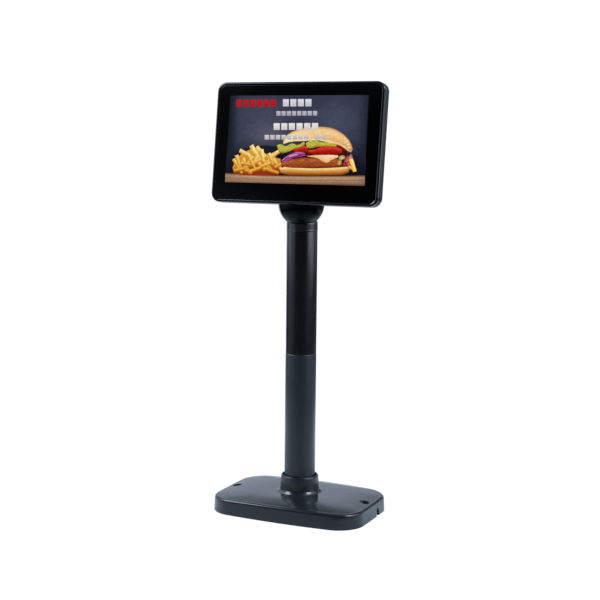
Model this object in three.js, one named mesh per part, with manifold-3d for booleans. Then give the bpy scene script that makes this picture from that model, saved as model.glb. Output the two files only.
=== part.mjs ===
// Customer pole display: a 7 inch screen head on a two-piece round pole, with a
// friction tilt hinge inside a ball shroud, a swivel collar on top of the pole,
// and a weighted base. Millimetres, +Z up. The origin is on the floor under the
// pole axis; the screen faces -Y at rest and +X is the viewer's right.
import * as THREE from 'three';
import { mergeVertices } from 'three/addons/utils/BufferGeometryUtils.js';
import Module from 'manifold-3d';

const wasm = await Module();
wasm.setup();

// ---------------------------------------------------------------- dimensions
// base
const BASE_HALF_X = 82.8;        // half length before the slight end bow
const BASE_HALF_Y = 52.4;        // half depth at the corners
const BASE_BOW_X = 0.9;          // outward bow of the short ends
const BASE_BOW_Y = 4.65;         // outward bow of the long sides
const BASE_CORNER_R = 25;
const COVER_BOTTOM_Z = 0.3;      // the cover hangs just clear of the counter
const COVER_WALL = 2.5;
const COVER_CROWN_Z = 20.6;      // crown height beside the socket
const PLATE_Z0 = 2.5, PLATE_Z1 = 8.5;   // steel ballast plate
const FOOT_R = 7, FOOT_X = 66, FOOT_Y = 36, FOOT_Z1 = 3.0;
const BASE_SCREW_X = 44, BASE_SCREW_Y = 40;
const COUNTER_HOLE_X = 73.5, COUNTER_HOLE_Y = 0, COUNTER_HOLE_R = 4.5;
const COUNTER_HOLE_PLATE_R = 3.3, COUNTER_SEAT_R = 4.1, COUNTER_SEAT_Z = 9.0;
const NOTCH_Y0 = 9.1, NOTCH_Y1 = 15.8, NOTCH_TOP_Z = 9.2;
const CHANNEL_HALF = 4.25;       // cable channel in the plate
// pole
const SOCKET_R = 19.9, SOCKET_TOP_Z = 38.3, SOCKET_FLANGE_R = 30;
const LOWER_TUBE_R = 15.95, UPPER_TUBE_R = 15.85, TUBE_WALL = 1.5;
const LOWER_TUBE_Z0 = 12.9, TUBE_JOINT_Z = 166.6, UPPER_TUBE_TOP_Z = 293.1;
const CABLE_R = 2.3;
// swivel
const SWIVEL_Z = 293.4;          // parting line of the swivel collar
const SPIGOT_R = 8.7, SPIGOT_BORE_R = 5.0, SPIGOT_END_Z = 262;
// tilt hinge and ball shroud
const PIVOT_Y = -2.5, PIVOT_Z = 320.7;
const BALL_R = 23.5, BALL_WALL = 2.0;
const EAR_HALF_Y = 4.0;
const TILT_REST = 7.5;           // degrees the head leans back at rest
// head; measured from the centre of its front face, depth to the rear
const HEAD_HALF_X = 92.25, HEAD_HALF_Z = 61.55, HEAD_CORNER_R = 9.5;
const FACE_TO_PIVOT_DEPTH = 23.58, FACE_TO_PIVOT_DROP = 58.9;
const RIM_DEPTH = 13.0, HUMP_DEPTH = 26.0, COVER_SKIN = 2.2;
const PLATEAU_HALF_X = 62, PLATEAU_Z0 = -50.5, PLATEAU_Z1 = 34;
const WINDOW_HALF_X = 77.1, WINDOW_Z0 = -41.15, WINDOW_Z1 = 47.55;
const LCD_HALF_X = 82.45, LCD_Z0 = -49.25, LCD_Z1 = 50.75;
const COVER_SCREWS = [[-72, 55], [72, 55], [-72, -55.4], [72, -55.4]];
const CHASSIS_SCREWS = [[-86, 30], [86, 30], [-86, -30], [86, -30]];
const BRACKET_SCREWS = [[-21, -30], [21, -30], [-21, -23.5], [21, -23.5]];
const BOARD_SCREWS = [[-48, -12], [48, -12], [-48, 36], [48, 36]];

// ------------------------------------------------------------------- helpers
const D2R = Math.PI / 180;

// closed indexed mesh -> manifold solid (positions only, outward faces)
function solid(geometry) {
  const g = geometry.clone();
  for (const n of Object.keys(g.attributes)) if (n !== 'position') g.deleteAttribute(n);
  const m = mergeVertices(g, 1e-4);
  const pos = m.attributes.position.array;
  const src = m.index.array;
  const tris = [];
  for (let i = 0; i < src.length; i += 3) {
    const [a, b, c] = [src[i], src[i + 1], src[i + 2]];
    if (a !== b && b !== c && a !== c) tris.push(a, b, c);
  }
  let vol = 0;
  const P = (i) => [pos[3 * i], pos[3 * i + 1], pos[3 * i + 2]];
  for (let i = 0; i < tris.length; i += 3) {
    const [a, b, c] = [P(tris[i]), P(tris[i + 1]), P(tris[i + 2])];
    vol += a[0] * (b[1] * c[2] - b[2] * c[1]) - a[1] * (b[0] * c[2] - b[2] * c[0]) + a[2] * (b[0] * c[1] - b[1] * c[0]);
  }
  if (vol < 0) for (let i = 0; i < tris.length; i += 3) { const t = tris[i + 1]; tris[i + 1] = tris[i + 2]; tris[i + 2] = t; }
  return new wasm.Manifold(new wasm.Mesh({
    numProp: 3, vertProperties: new Float32Array(pos), triVerts: new Uint32Array(tris),
  }));
}

// manifold solid -> BufferGeometry
function geometryOf(man) {
  const m = man.getMesh();
  const g = new THREE.BufferGeometry();
  const np = m.numProp, n = m.vertProperties.length / np;
  const pos = new Float32Array(n * 3);
  for (let i = 0; i < n; i++) for (let k = 0; k < 3; k++) pos[3 * i + k] = m.vertProperties[np * i + k];
  g.setAttribute('position', new THREE.BufferAttribute(pos, 3));
  g.setIndex(new THREE.BufferAttribute(new Uint32Array(m.triVerts), 1));
  const out = mergeVertices(g, 1e-5);
  out.computeVertexNormals();
  return out;
}

const union = (...s) => s.flat().reduce((a, b) => a.add(b));
const cut = (a, ...s) => s.flat().reduce((x, y) => x.subtract(y), a);

const box = (x0, x1, y0, y1, z0, z1) =>
  solid(new THREE.BoxGeometry(x1 - x0, y1 - y0, z1 - z0).translate((x0 + x1) / 2, (y0 + y1) / 2, (z0 + z1) / 2));

// cylinder between two stations along one axis, centred on the other two coordinates
function cylinder(axis, r, a0, a1, c1 = 0, c2 = 0, seg = 24) {
  const g = new THREE.CylinderGeometry(r, r, a1 - a0, seg);
  g.translate(0, (a0 + a1) / 2, 0);
  if (axis === 'z') g.rotateX(Math.PI / 2).translate(c1, c2, 0);
  if (axis === 'x') g.rotateZ(-Math.PI / 2).translate(0, c1, c2);
  if (axis === 'y') g.translate(c1, 0, c2);
  return solid(g);
}
const sphere = (r, x, y, z, seg = 32) => solid(new THREE.SphereGeometry(r, seg, seg / 2).translate(x, y, z));

// turned solid about Z from [radius, z] points: closed ring, or from axis to axis
function turned(profile, seg = 28) {
  const closed = profile[0][0] > 0;
  const pts = profile.map(([r, z]) => new THREE.Vector2(r, z));
  if (closed) pts.push(pts[0].clone());
  return solid(new THREE.LatheGeometry(pts, seg).rotateX(Math.PI / 2));
}

// solid skinned over rings of equal point count: end caps, or a closed loop of rings
function loft(rings, loop = false) {
  const n = rings[0].length;
  const pos = [], idx = [];
  for (const r of rings) for (const p of r) pos.push(p[0], p[1], p[2]);
  const last = loop ? rings.length : rings.length - 1;
  for (let k = 0; k < last; k++) {
    const a = k * n, b = ((k + 1) % rings.length) * n;
    for (let i = 0; i < n; i++) {
      const j = (i + 1) % n;
      idx.push(a + i, a + j, b + j, a + i, b + j, b + i);
    }
  }
  if (!loop) {
    for (const [k, flip] of [[0, true], [rings.length - 1, false]]) {
      const c = [0, 0, 0];
      for (const p of rings[k]) for (let q = 0; q < 3; q++) c[q] += p[q] / n;
      const ci = pos.length / 3;
      pos.push(...c);
      for (let i = 0; i < n; i++) {
        const j = (i + 1) % n;
        if (flip) idx.push(ci, k * n + j, k * n + i); else idx.push(ci, k * n + i, k * n + j);
      }
    }
  }
  const g = new THREE.BufferGeometry();
  g.setAttribute('position', new THREE.BufferAttribute(new Float32Array(pos), 3));
  g.setIndex(idx);
  return solid(g);
}

// straight prism of an outline [u, v] along one axis
function prism(outline, axis, a0, a1) {
  const shape = new THREE.Shape(outline.map(([u, v]) => new THREE.Vector2(u, v)));
  const g = new THREE.ExtrudeGeometry(shape, { depth: a1 - a0, bevelEnabled: false }).translate(0, 0, a0);
  if (axis === 'x') g.applyMatrix4(new THREE.Matrix4().makeBasis(new THREE.Vector3(0, 1, 0), new THREE.Vector3(0, 0, 1), new THREE.Vector3(1, 0, 0)));
  // outline u -> X and v -> Z, extruded along +Y (a mirrored frame; faces are set outward by solid())
  if (axis === 'y') g.applyMatrix4(new THREE.Matrix4().makeBasis(new THREE.Vector3(1, 0, 0), new THREE.Vector3(0, 0, 1), new THREE.Vector3(0, 1, 0)));
  return solid(g);
}

// round bar along a curve, sampled at the given curve parameters
function bar(curve, r, params, sides = 8) {
  const rings = [];
  let normal = null, prev = null;
  for (const t of params) {
    const p = curve.getPoint(t), tan = curve.getTangent(t).normalize();
    if (!normal) {
      normal = new THREE.Vector3(0, 1, 0);
      if (Math.abs(tan.dot(normal)) > 0.9) normal.set(1, 0, 0);
    } else {
      const q = new THREE.Quaternion().setFromUnitVectors(prev, tan);
      normal.applyQuaternion(q);
    }
    normal.addScaledVector(tan, -normal.dot(tan)).normalize();
    const bin = new THREE.Vector3().crossVectors(tan, normal);
    const ring = [];
    for (let i = 0; i < sides; i++) {
      const a = (i / sides) * 2 * Math.PI, c = Math.cos(a) * r, s = Math.sin(a) * r;
      ring.push([p.x + normal.x * c + bin.x * s, p.y + normal.y * c + bin.y * s, p.z + normal.z * c + bin.z * s]);
    }
    rings.push(ring);
    prev = tan;
  }
  return loft(rings);
}

// rounded rectangle as XZ points (u = X, v = Z), anticlockwise
function roundedRect(hx, z0, z1, r, per = 4) {
  const pts = [];
  const rr = Math.max(r, 0.6);
  for (const [sx, top, a0] of [[1, 1, 0], [-1, 1, 90], [-1, 0, 180], [1, 0, 270]]) {
    const cx = sx * (hx - rr), cz = top ? z1 - rr : z0 + rr;
    for (let k = 0; k <= per; k++) {
      const a = (a0 + (90 * k) / per) * D2R;
      pts.push([cx + rr * Math.cos(a), cz + rr * Math.sin(a)]);
    }
  }
  return pts;
}
// head outline at an inset, placed at a depth
const headRing = (inset, depth, per = 4) =>
  roundedRect(HEAD_HALF_X - inset, -HEAD_HALF_Z + inset, HEAD_HALF_Z - inset, HEAD_CORNER_R - inset, per)
    .map(([u, v]) => [u, depth, v]);

// bowed base outline at an inset
function baseOutline(inset) {
  const a = BASE_HALF_X - inset, b = BASE_HALF_Y - inset, r = Math.max(BASE_CORNER_R - inset, 2);
  const pts = [];
  const corners = [[1, 1, 0], [-1, 1, 90], [-1, -1, 180], [1, -1, 270]];
  corners.forEach(([sx, sy, a0], q) => {
    const cx = sx * (a - r), cy = sy * (b - r);
    for (let k = 0; k <= 5; k++) {
      const t = (a0 + (90 * k) / 5) * D2R;
      pts.push([cx + r * Math.cos(t), cy + r * Math.sin(t)]);
    }
    // points along the following straight side, so that the bow has somewhere to go
    const [nx, ny, na] = corners[(q + 1) % 4];
    const ex = nx * (a - r) + r * Math.cos(na * D2R), ey = ny * (b - r) + r * Math.sin(na * D2R);
    const [lx, ly] = pts[pts.length - 1];
    const m = q % 2 === 0 ? 3 : 1;
    for (let k = 1; k <= m; k++) pts.push([lx + ((ex - lx) * k) / (m + 1), ly + ((ey - ly) * k) / (m + 1)]);
  });
  return pts.map(([x, y]) => [
    x + Math.sign(x) * BASE_BOW_X * (1 - (y / b) ** 2) * (Math.abs(x) / a),
    y + Math.sign(y) * BASE_BOW_Y * (1 - (x / a) ** 2) * (Math.abs(y) / b),
  ]);
}

// screw: head from h0 to h1, shaft from s0 to h0, along one axis (+ or -)
function screw(axis, c1, c2, headR, shaftR, h0, h1, s0, recess = false) {
  const seg = recess ? 12 : 8;
  const lo = Math.min(h0, h1), hi = Math.max(h0, h1);
  const head = cylinder(axis, headR, lo, hi, c1, c2, seg);
  const shaft = cylinder(axis, shaftR, Math.min(s0, (lo + hi) / 2), Math.max(s0, (lo + hi) / 2), c1, c2, seg);
  if (!recess) return head.add(shaft);
  const drive = cylinder(axis, headR * 0.42, h0 < h1 ? hi - (hi - lo) * 0.45 : lo - 1, h0 < h1 ? hi + 1 : lo + (hi - lo) * 0.45, c1, c2, 6);
  return head.add(shaft).subtract(drive);
}

// ----------------------------------------------------------------- materials
const mat = (color, roughness, metalness) => new THREE.MeshStandardMaterial({ color, roughness, metalness });
const M = {
  coverPlastic: mat(0x17191d, 0.32, 0.0),
  steelPlate: mat(0x3a3c3f, 0.5, 0.9),
  rubber: mat(0x151515, 0.85, 0.0),
  zincScrew: mat(0x8f9296, 0.35, 1.0),
  tubePaint: mat(0x1c1f24, 0.38, 0.2),
  glossPlastic: mat(0x0b0b0d, 0.18, 0.0),
  innerPlastic: mat(0x2a2c30, 0.5, 0.0),
  bushPlastic: mat(0xd8d6cc, 0.45, 0.0),
  springSteel: mat(0x9a9da1, 0.3, 1.0),
  hingeSteel: mat(0x70747a, 0.4, 1.0),
  glass: mat(0x050506, 0.05, 0.0),
  foam: mat(0x202022, 0.95, 0.0),
  lcdSteel: mat(0xb4b7ba, 0.35, 1.0),
  board: mat(0x0d4a2b, 0.5, 0.0),
  connector: mat(0xe6e2d6, 0.5, 0.0),
  flex: mat(0x9c6a1c, 0.45, 0.0),
  cable: mat(0x121214, 0.6, 0.0),
};

const root = new THREE.Group();
const neckGroup = new THREE.Group();
const headGroup = new THREE.Group();     // origin on the tilt axis, leans with the head
headGroup.position.set(0, PIVOT_Y, PIVOT_Z);
headGroup.rotation.x = -TILT_REST * D2R;
const faceGroup = new THREE.Group();     // origin at the centre of the head's front face
faceGroup.position.set(0, -FACE_TO_PIVOT_DEPTH, FACE_TO_PIVOT_DROP);
headGroup.add(faceGroup);
root.add(neckGroup, headGroup);

function add(group, name, man, material) {
  const mesh = new THREE.Mesh(geometryOf(man), material);
  mesh.name = name;
  group.add(mesh);
  return mesh;
}

// ---------------------------------------------------------------------- base
{
  const n = baseOutline(0).length;
  const arch = (x) => 1 - (x / BASE_HALF_X) ** 2;
  const flat = (inset, z) => baseOutline(inset).map(([x, y]) => [x, y, z + 1.0 * arch(x) * (z - COVER_BOTTOM_Z) / 13]);
  // rings that blend from the rim outline to a circle round the pole
  const blend = (inset, zEdge, radius, zMid, s) => {
    const rim = flat(inset, zEdge), f = 1 - (1 - s) ** 2;
    return rim.map(([x, y, z]) => {
      const t = Math.atan2(y, x);
      return [x + (radius * Math.cos(t) - x) * s, y + (radius * Math.sin(t) - y) * s, z + (zMid - z) * f];
    });
  };
  const circle = (r, z) => baseOutline(4).map(([x, y]) => { const t = Math.atan2(y, x); return [r * Math.cos(t), r * Math.sin(t), z]; });
  const outer = [
    flat(0, COVER_BOTTOM_Z), flat(0.38, 7.4), flat(0.72, 12.8), flat(0.95, 14.15), flat(1.5, 15.0), flat(2.6, 15.6), flat(4.4, 15.8),
    blend(4.4, 15.8, 24.4, COVER_CROWN_Z, 0.2), blend(4.4, 15.8, 24.4, COVER_CROWN_Z, 0.45), blend(4.4, 15.8, 24.4, COVER_CROWN_Z, 0.72),
    circle(24.4, COVER_CROWN_Z), circle(22.2, COVER_CROWN_Z + 0.45), circle(21.1, COVER_CROWN_Z + 1.6), circle(20.8, COVER_CROWN_Z + 2.7), circle(18.5, COVER_CROWN_Z + 2.75),
  ];
  const inner = [
    circle(18.5, COVER_CROWN_Z - COVER_WALL), circle(24, COVER_CROWN_Z - COVER_WALL),
    blend(5.2, 12.0, 24, COVER_CROWN_Z - COVER_WALL, 0.6), blend(5.2, 12.0, 24, COVER_CROWN_Z - COVER_WALL, 0.3),
    flat(5.2, 12.0), flat(3.4, 11.0), flat(COVER_WALL, 9.2), flat(COVER_WALL, COVER_BOTTOM_Z),
  ];
  let cover = loft([...outer, ...inner], true);
  const filled = loft([...outer.slice(0, 11)]);
  const posts = [];
  for (const sx of [-1, 1]) for (const sy of [-1, 1]) posts.push(cylinder('z', 3.8, 8.8, 24, sx * BASE_SCREW_X, sy * BASE_SCREW_Y, 14));
  for (const sx of [-1, 1]) posts.push(cylinder('z', 6.3, 8.8, 24, sx * COUNTER_HOLE_X, COUNTER_HOLE_Y, 20));
  cover = cover.add(union(posts).intersect(filled));
  const holes = [cylinder('z', SOCKET_R + 0.45, 10, 40, 0, 0, 28)];
  for (const sx of [-1, 1]) for (const sy of [-1, 1]) holes.push(cylinder('z', 1.8, 8, 13.4, sx * BASE_SCREW_X, sy * BASE_SCREW_Y, 12));
  for (const sx of [-1, 1]) holes.push(cylinder('z', COUNTER_HOLE_R, 8, 30, sx * COUNTER_HOLE_X, COUNTER_HOLE_Y, 20));
  const ym = (NOTCH_Y0 + NOTCH_Y1) / 2;
  holes.push(prism([[NOTCH_Y0, 0], [NOTCH_Y1, 0], [NOTCH_Y1, 4.6], [ym + 1.6, 8.0], [ym + 0.6, NOTCH_TOP_Z], [ym - 0.6, NOTCH_TOP_Z], [ym - 1.6, 8.0], [NOTCH_Y0, 4.6]], 'x', 76, 90));
  add(root, 'base_cover', cut(cover, holes), M.coverPlastic);

  // ballast plate with the cable channel, socket pocket and screw counterbores
  const out = baseOutline(COVER_WALL + 0.4);
  let plate = loft([out.map(([x, y]) => [x, y, PLATE_Z0]), out.map(([x, y]) => [x, y, PLATE_Z1])]);
  // embossed seats for the heads of the counter screws
  for (const sx of [-1, 1]) plate = plate.add(cylinder('z', COUNTER_SEAT_R, PLATE_Z1 - 0.5, COUNTER_SEAT_Z, sx * COUNTER_HOLE_X, COUNTER_HOLE_Y, 20));
  const cuts = [cylinder('z', 12, 0, 12, 0, 0, 32)];
  const channelAngle = Math.atan2((NOTCH_Y0 + NOTCH_Y1) / 2, 52);
  const ch = new THREE.BoxGeometry(54, CHANNEL_HALF * 2, 10).translate(27, 0, 5).rotateZ(channelAngle);
  cuts.push(solid(ch), box(49, 86, 8.4, 16.6, 0, 10));
  for (const sx of [-1, 1]) cuts.push(cylinder('z', COUNTER_HOLE_PLATE_R, 0, 10, sx * COUNTER_HOLE_X, COUNTER_HOLE_Y, 20));
  for (const sx of [-1, 1]) for (const sy of [-1, 1]) {
    cuts.push(cylinder('z', FOOT_R + 0.3, 0, FOOT_Z1 + 0.3, sx * FOOT_X, sy * FOOT_Y, 20));
    cuts.push(cylinder('z', 1.9, 0, 10, sx * BASE_SCREW_X, sy * BASE_SCREW_Y, 10));
    cuts.push(cylinder('z', 3.8, 0, 5.1, sx * BASE_SCREW_X, sy * BASE_SCREW_Y, 12));
  }
  for (const a of [90, 210, 330]) {
    const x = 25 * Math.cos(a * D2R), y = 25 * Math.sin(a * D2R);
    cuts.push(cylinder('z', 1.9, 0, 10, x, y, 10), cylinder('z', 4.2, 0, 5.5, x, y, 12));
  }
  add(root, 'base_plate', cut(plate, cuts), M.steelPlate);

  let k = 0;
  for (const [sx, sy] of [[-1, -1], [1, -1], [1, 1], [-1, 1]]) {
    k += 1;
    add(root, `rubber_foot_${k}`, turned([[0, 0], [FOOT_R - 0.8, 0], [FOOT_R, 0.8], [FOOT_R, FOOT_Z1], [0, FOOT_Z1]], 16).translate(sx * FOOT_X, sy * FOOT_Y, 0), M.rubber);
    add(root, `base_screw_${k}`, screw('z', sx * BASE_SCREW_X, sy * BASE_SCREW_Y, 3.4, 1.5, 4.8, 2.9, 12.8), M.zincScrew);
  }

  // receptacle behind the notch, with its mouth towards +X
  const yc = (NOTCH_Y0 + NOTCH_Y1) / 2;
  add(root, 'io_socket', cut(box(52, 66, 8.7, 16.3, 2.8, 8.2), box(55, 67, yc - 2.7, yc + 2.7, 3.7, 7.2)).add(box(54.9, 64, yc - 1.9, yc + 1.9, 5.1, 5.9)), M.lcdSteel);
  const g = new THREE.BoxGeometry(6, 8, 6.6).translate(30.5, 0, 5.4).rotateZ(channelAngle);
  const bore = new THREE.CylinderGeometry(CABLE_R + 0.3, CABLE_R + 0.3, 20, 16).rotateZ(-Math.PI / 2).translate(30.5, 0, 5.4).rotateZ(channelAngle);
  add(root, 'cable_grommet', solid(g).subtract(solid(bore)), M.rubber);

  // pole socket with a flange under the cover and a rolled lip round the tube
  let socket = turned([
    [12, 8.8], [SOCKET_FLANGE_R, 8.8], [SOCKET_FLANGE_R, 11.8], [SOCKET_R, 11.8], [SOCKET_R, 36.2], [19.5, 37.5], [18.7, SOCKET_TOP_Z],
    [18.1, SOCKET_TOP_Z], [17.6, 37.6], [17.45, 34.6], [16.3, 33.4], [16.3, 12.6], [12, 12.6],
  ], 28);
  const sh = [];
  [90, 210, 330].forEach((a, i) => {
    const x = 25 * Math.cos(a * D2R), y = 25 * Math.sin(a * D2R);
    sh.push(cylinder('z', 1.8, 8, 11.0, x, y, 8));
    add(root, `socket_screw_${i + 1}`, screw('z', x, y, 3.8, 1.5, 5.2, 2.9, 10.6), M.zincScrew);
  });
  add(root, 'pole_socket', cut(socket, sh), M.coverPlastic);
}

// ---------------------------------------------------------------------- pole
{
  const li = LOWER_TUBE_R - TUBE_WALL, ui = UPPER_TUBE_R - TUBE_WALL, j = TUBE_JOINT_Z;
  add(root, 'lower_tube', turned([[li, LOWER_TUBE_Z0], [LOWER_TUBE_R, LOWER_TUBE_Z0], [LOWER_TUBE_R, j - 0.7], [LOWER_TUBE_R - 0.5, j - 0.15], [li, j - 0.15]], 24), M.tubePaint);
  add(root, 'upper_tube', turned([[ui, j + 0.15], [UPPER_TUBE_R - 0.3, j + 0.15], [UPPER_TUBE_R, j + 0.5], [UPPER_TUBE_R, UPPER_TUBE_TOP_Z], [ui, UPPER_TUBE_TOP_Z]], 24), M.tubePaint);
  add(root, 'tube_joiner', turned([[11.8, j - 27], [13.7, j - 27], [14.0, j - 26], [14.0, j + 26], [13.7, j + 27], [11.8, j + 27]], 16), M.innerPlastic);

  // swivel bush in the top of the upper tube, with the stop rib at the rear
  let bush = turned([[8.95, 268], [14.0, 268], [14.0, 293.0], [12.0, 293.0], [12.0, 287.0], [8.95, 287.0]], 24);
  bush = bush.add(box(-1.3, 1.3, 8.98, 12.6, 286.6, 292.9));
  add(root, 'swivel_bush', bush, M.bushPlastic);

  const pts = [[50.8, 12.16, 5.4], [46, 11.01, 5.4], [30, 7.18, 5.4], [18, 4.31, 5.5], [8.2, 1.96, 7.2], [2.6, 0.62, 14], [0, 0, 26], [0, 0, 60], [0, 0, 130], [0, 0, 200], [0, 0, 270], [0, 0, 318.6]];
  const curve = new THREE.CatmullRomCurve3(pts.map((p) => new THREE.Vector3(...p)), false, 'centripetal');
  const params = [];
  const segs = pts.length - 1;
  pts.forEach((p, i) => {
    params.push(i / segs);
    if (i >= 2 && i <= 5) params.push((i + 0.25) / segs, (i + 0.5) / segs, (i + 0.75) / segs);
  });
  add(root, 'pole_cable', bar(curve, CABLE_R, params, 8), M.cable);
}

// -------------------------------------------------------------- swivel collar
{
  // turned body with a spigot, cup for the ball, bore for the cable, lug and clip groove
  let collar = turned([
    [SPIGOT_BORE_R, SPIGOT_END_Z], [SPIGOT_R - 0.6, SPIGOT_END_Z], [SPIGOT_R, SPIGOT_END_Z + 0.6], [SPIGOT_R, 264.6], [7.4, 264.6], [7.4, 266.2], [SPIGOT_R, 266.2],
    [SPIGOT_R, SWIVEL_Z], [16.1, SWIVEL_Z], [15.95, SWIVEL_Z + 1.4], [15.95, 300.8], [15.8, 301.9], [15.4, 302.8], [15.15, 303.6], [15.15, 307], [SPIGOT_BORE_R, 307],
  ], 28);
  collar = cut(collar, sphere(BALL_R + 0.5, 0, PIVOT_Y, PIVOT_Z, 32), cylinder('z', 9.9, 294.8, 306, 0, 0, 24));
  collar = collar.add(box(-1.3, 1.3, -11.6, -6.5, 287.4, SWIVEL_Z + 0.6));
  collar = cut(collar, cylinder('z', 1.15, 287.8, 296, 6.9, 0, 8), cylinder('z', 1.15, 287.8, 296, -6.9, 0, 8));
  add(neckGroup, 'swivel_collar', collar, M.glossPlastic);
  add(neckGroup, 'wave_washer', turned([[9.05, 266.5], [12.6, 266.5], [12.6, 267.6], [9.05, 267.6]], 16), M.springSteel);
  add(neckGroup, 'retaining_clip', cut(turned([[7.7, 264.9], [11.2, 264.9], [11.2, 265.9], [7.7, 265.9]], 16), box(-2.2, 2.2, 5, 14, 264, 267)), M.springSteel);

  // hinge post: round flange in the collar and two ears up to the tilt axis
  let post = cylinder('z', 9.5, 295.1, 296.5, 0, 0, 20);
  const ear = [];
  for (let k = 0; k <= 6; k++) { const a = (k * 30) * D2R; ear.push([PIVOT_Y + EAR_HALF_Y * Math.cos(a), PIVOT_Z + EAR_HALF_Y * Math.sin(a)]); }
  ear.push([PIVOT_Y - EAR_HALF_Y, 295.6], [PIVOT_Y + EAR_HALF_Y, 295.6]);
  post = union(post, prism(ear, 'x', 2.9, 4.9), prism(ear, 'x', -4.9, -2.9));
  post = cut(post, cylinder('x', 1.9, -8, 8, PIVOT_Y, PIVOT_Z, 12), cylinder('z', 1.2, 294, 299, 6.9, 0, 8), cylinder('z', 1.2, 294, 299, -6.9, 0, 8), cylinder('z', CABLE_R + 0.5, 294, 299, 0, 0, 12));
  add(neckGroup, 'hinge_post', post, M.hingeSteel);
  add(neckGroup, 'hinge_screw_1', screw('z', -6.9, 0, 1.5, 0.8, 296.8, 297.9, 288.6), M.zincScrew);
  add(neckGroup, 'hinge_screw_2', screw('z', 6.9, 0, 1.5, 0.8, 296.8, 297.9, 288.6), M.zincScrew);
}

// ------------------------------------------------------- tilt hinge and shroud
{
  const disc = [];
  for (let k = 0; k <= 6; k++) { const a = (180 + k * 30) * D2R; disc.push([EAR_HALF_Y * Math.cos(a), EAR_HALF_Y * Math.sin(a)]); }
  disc.push([EAR_HALF_Y, 9], [-EAR_HALF_Y, 9]);
  let bracket = union(
    prism(disc, 'x', 6.5, 8.5), prism(disc, 'x', -8.5, -6.5),
    box(6.5, 9.8, -4, -2, 3, 27), box(-9.8, -6.5, -4, -2, 3, 27),
    box(-26, 26, -4, -2, 24.6, 38.4),
  );
  bracket = cut(bracket, cylinder('x', 1.9, -12, 12, 0, 0, 12), box(-3.6, 3.6, -6, 0, 24, 33));
  for (const [x, v] of BRACKET_SCREWS) bracket = bracket.subtract(cylinder('y', 1.5, -6, 0, x, v + FACE_TO_PIVOT_DROP, 8));
  add(headGroup, 'hinge_bracket', bracket, M.hingeSteel);
  for (const [name, s] of [['left', -1], ['right', 1]]) {
    const at = (a, b) => (s > 0 ? [a, b] : [-b, -a]);
    const [p0, p1] = at(3.1, 9.6), [h0, h1] = at(8.8, 10.8), [w0, w1] = at(5.2, 6.2);
    add(headGroup, `hinge_pin_${name}`, cylinder('x', 1.6, p0, p1, 0, 0, 12).add(cylinder('x', 3.2, h0, h1, 0, 0, 12)), M.springSteel);
    add(headGroup, `friction_washer_${name}`, cylinder('x', 3.9, w0, w1, 0, 0, 14).subtract(cylinder('x', 1.95, w0 - 1, w1 + 1, 0, 0, 12)), M.bushPlastic);
  }

  let ball = sphere(BALL_R, 0, 0, 0, 28).subtract(sphere(BALL_R - BALL_WALL, 0, 0, 0, 16));
  const slot = [[0, 0]];
  for (let k = 0; k <= 6; k++) { const f = (-13 + (63.5 * k) / 6) * D2R; slot.push([32 * Math.sin(f), -32 * Math.cos(f)]); }
  const rimTop = -(HEAD_HALF_Z - FACE_TO_PIVOT_DROP) - 0.3;
  ball = cut(ball,
    prism(slot, 'x', -5.7, 5.7),
    box(-10.4, 10.4, -7, 2.1, 9, 30),
    box(-40, 40, -40, RIM_DEPTH + 0.3 - FACE_TO_PIVOT_DEPTH, rimTop, 40));
  add(headGroup, 'shroud_front', ball.intersect(box(-30, 30, -30, -0.15, -30, 30)), M.glossPlastic);
  add(headGroup, 'shroud_rear', ball.intersect(box(-30, 30, 0.15, 30, -30, 30)), M.glossPlastic);

  const pts = [[0, 2.4, 1.6], [0, 1.6, 7], [0, -1.0, 14], [0, -3.6, 20], [0, -6.2, 27], [0, -7.0, 34], [0, -7.0, 41.9]];
  const curve = new THREE.CatmullRomCurve3(pts.map((p) => new THREE.Vector3(...p)), false, 'centripetal');
  add(headGroup, 'head_cable', bar(curve, CABLE_R, [0, 0.08, 0.17, 0.25, 0.33, 0.42, 0.5, 0.58, 0.67, 0.75, 0.83, 1], 8), M.cable);
}

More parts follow.
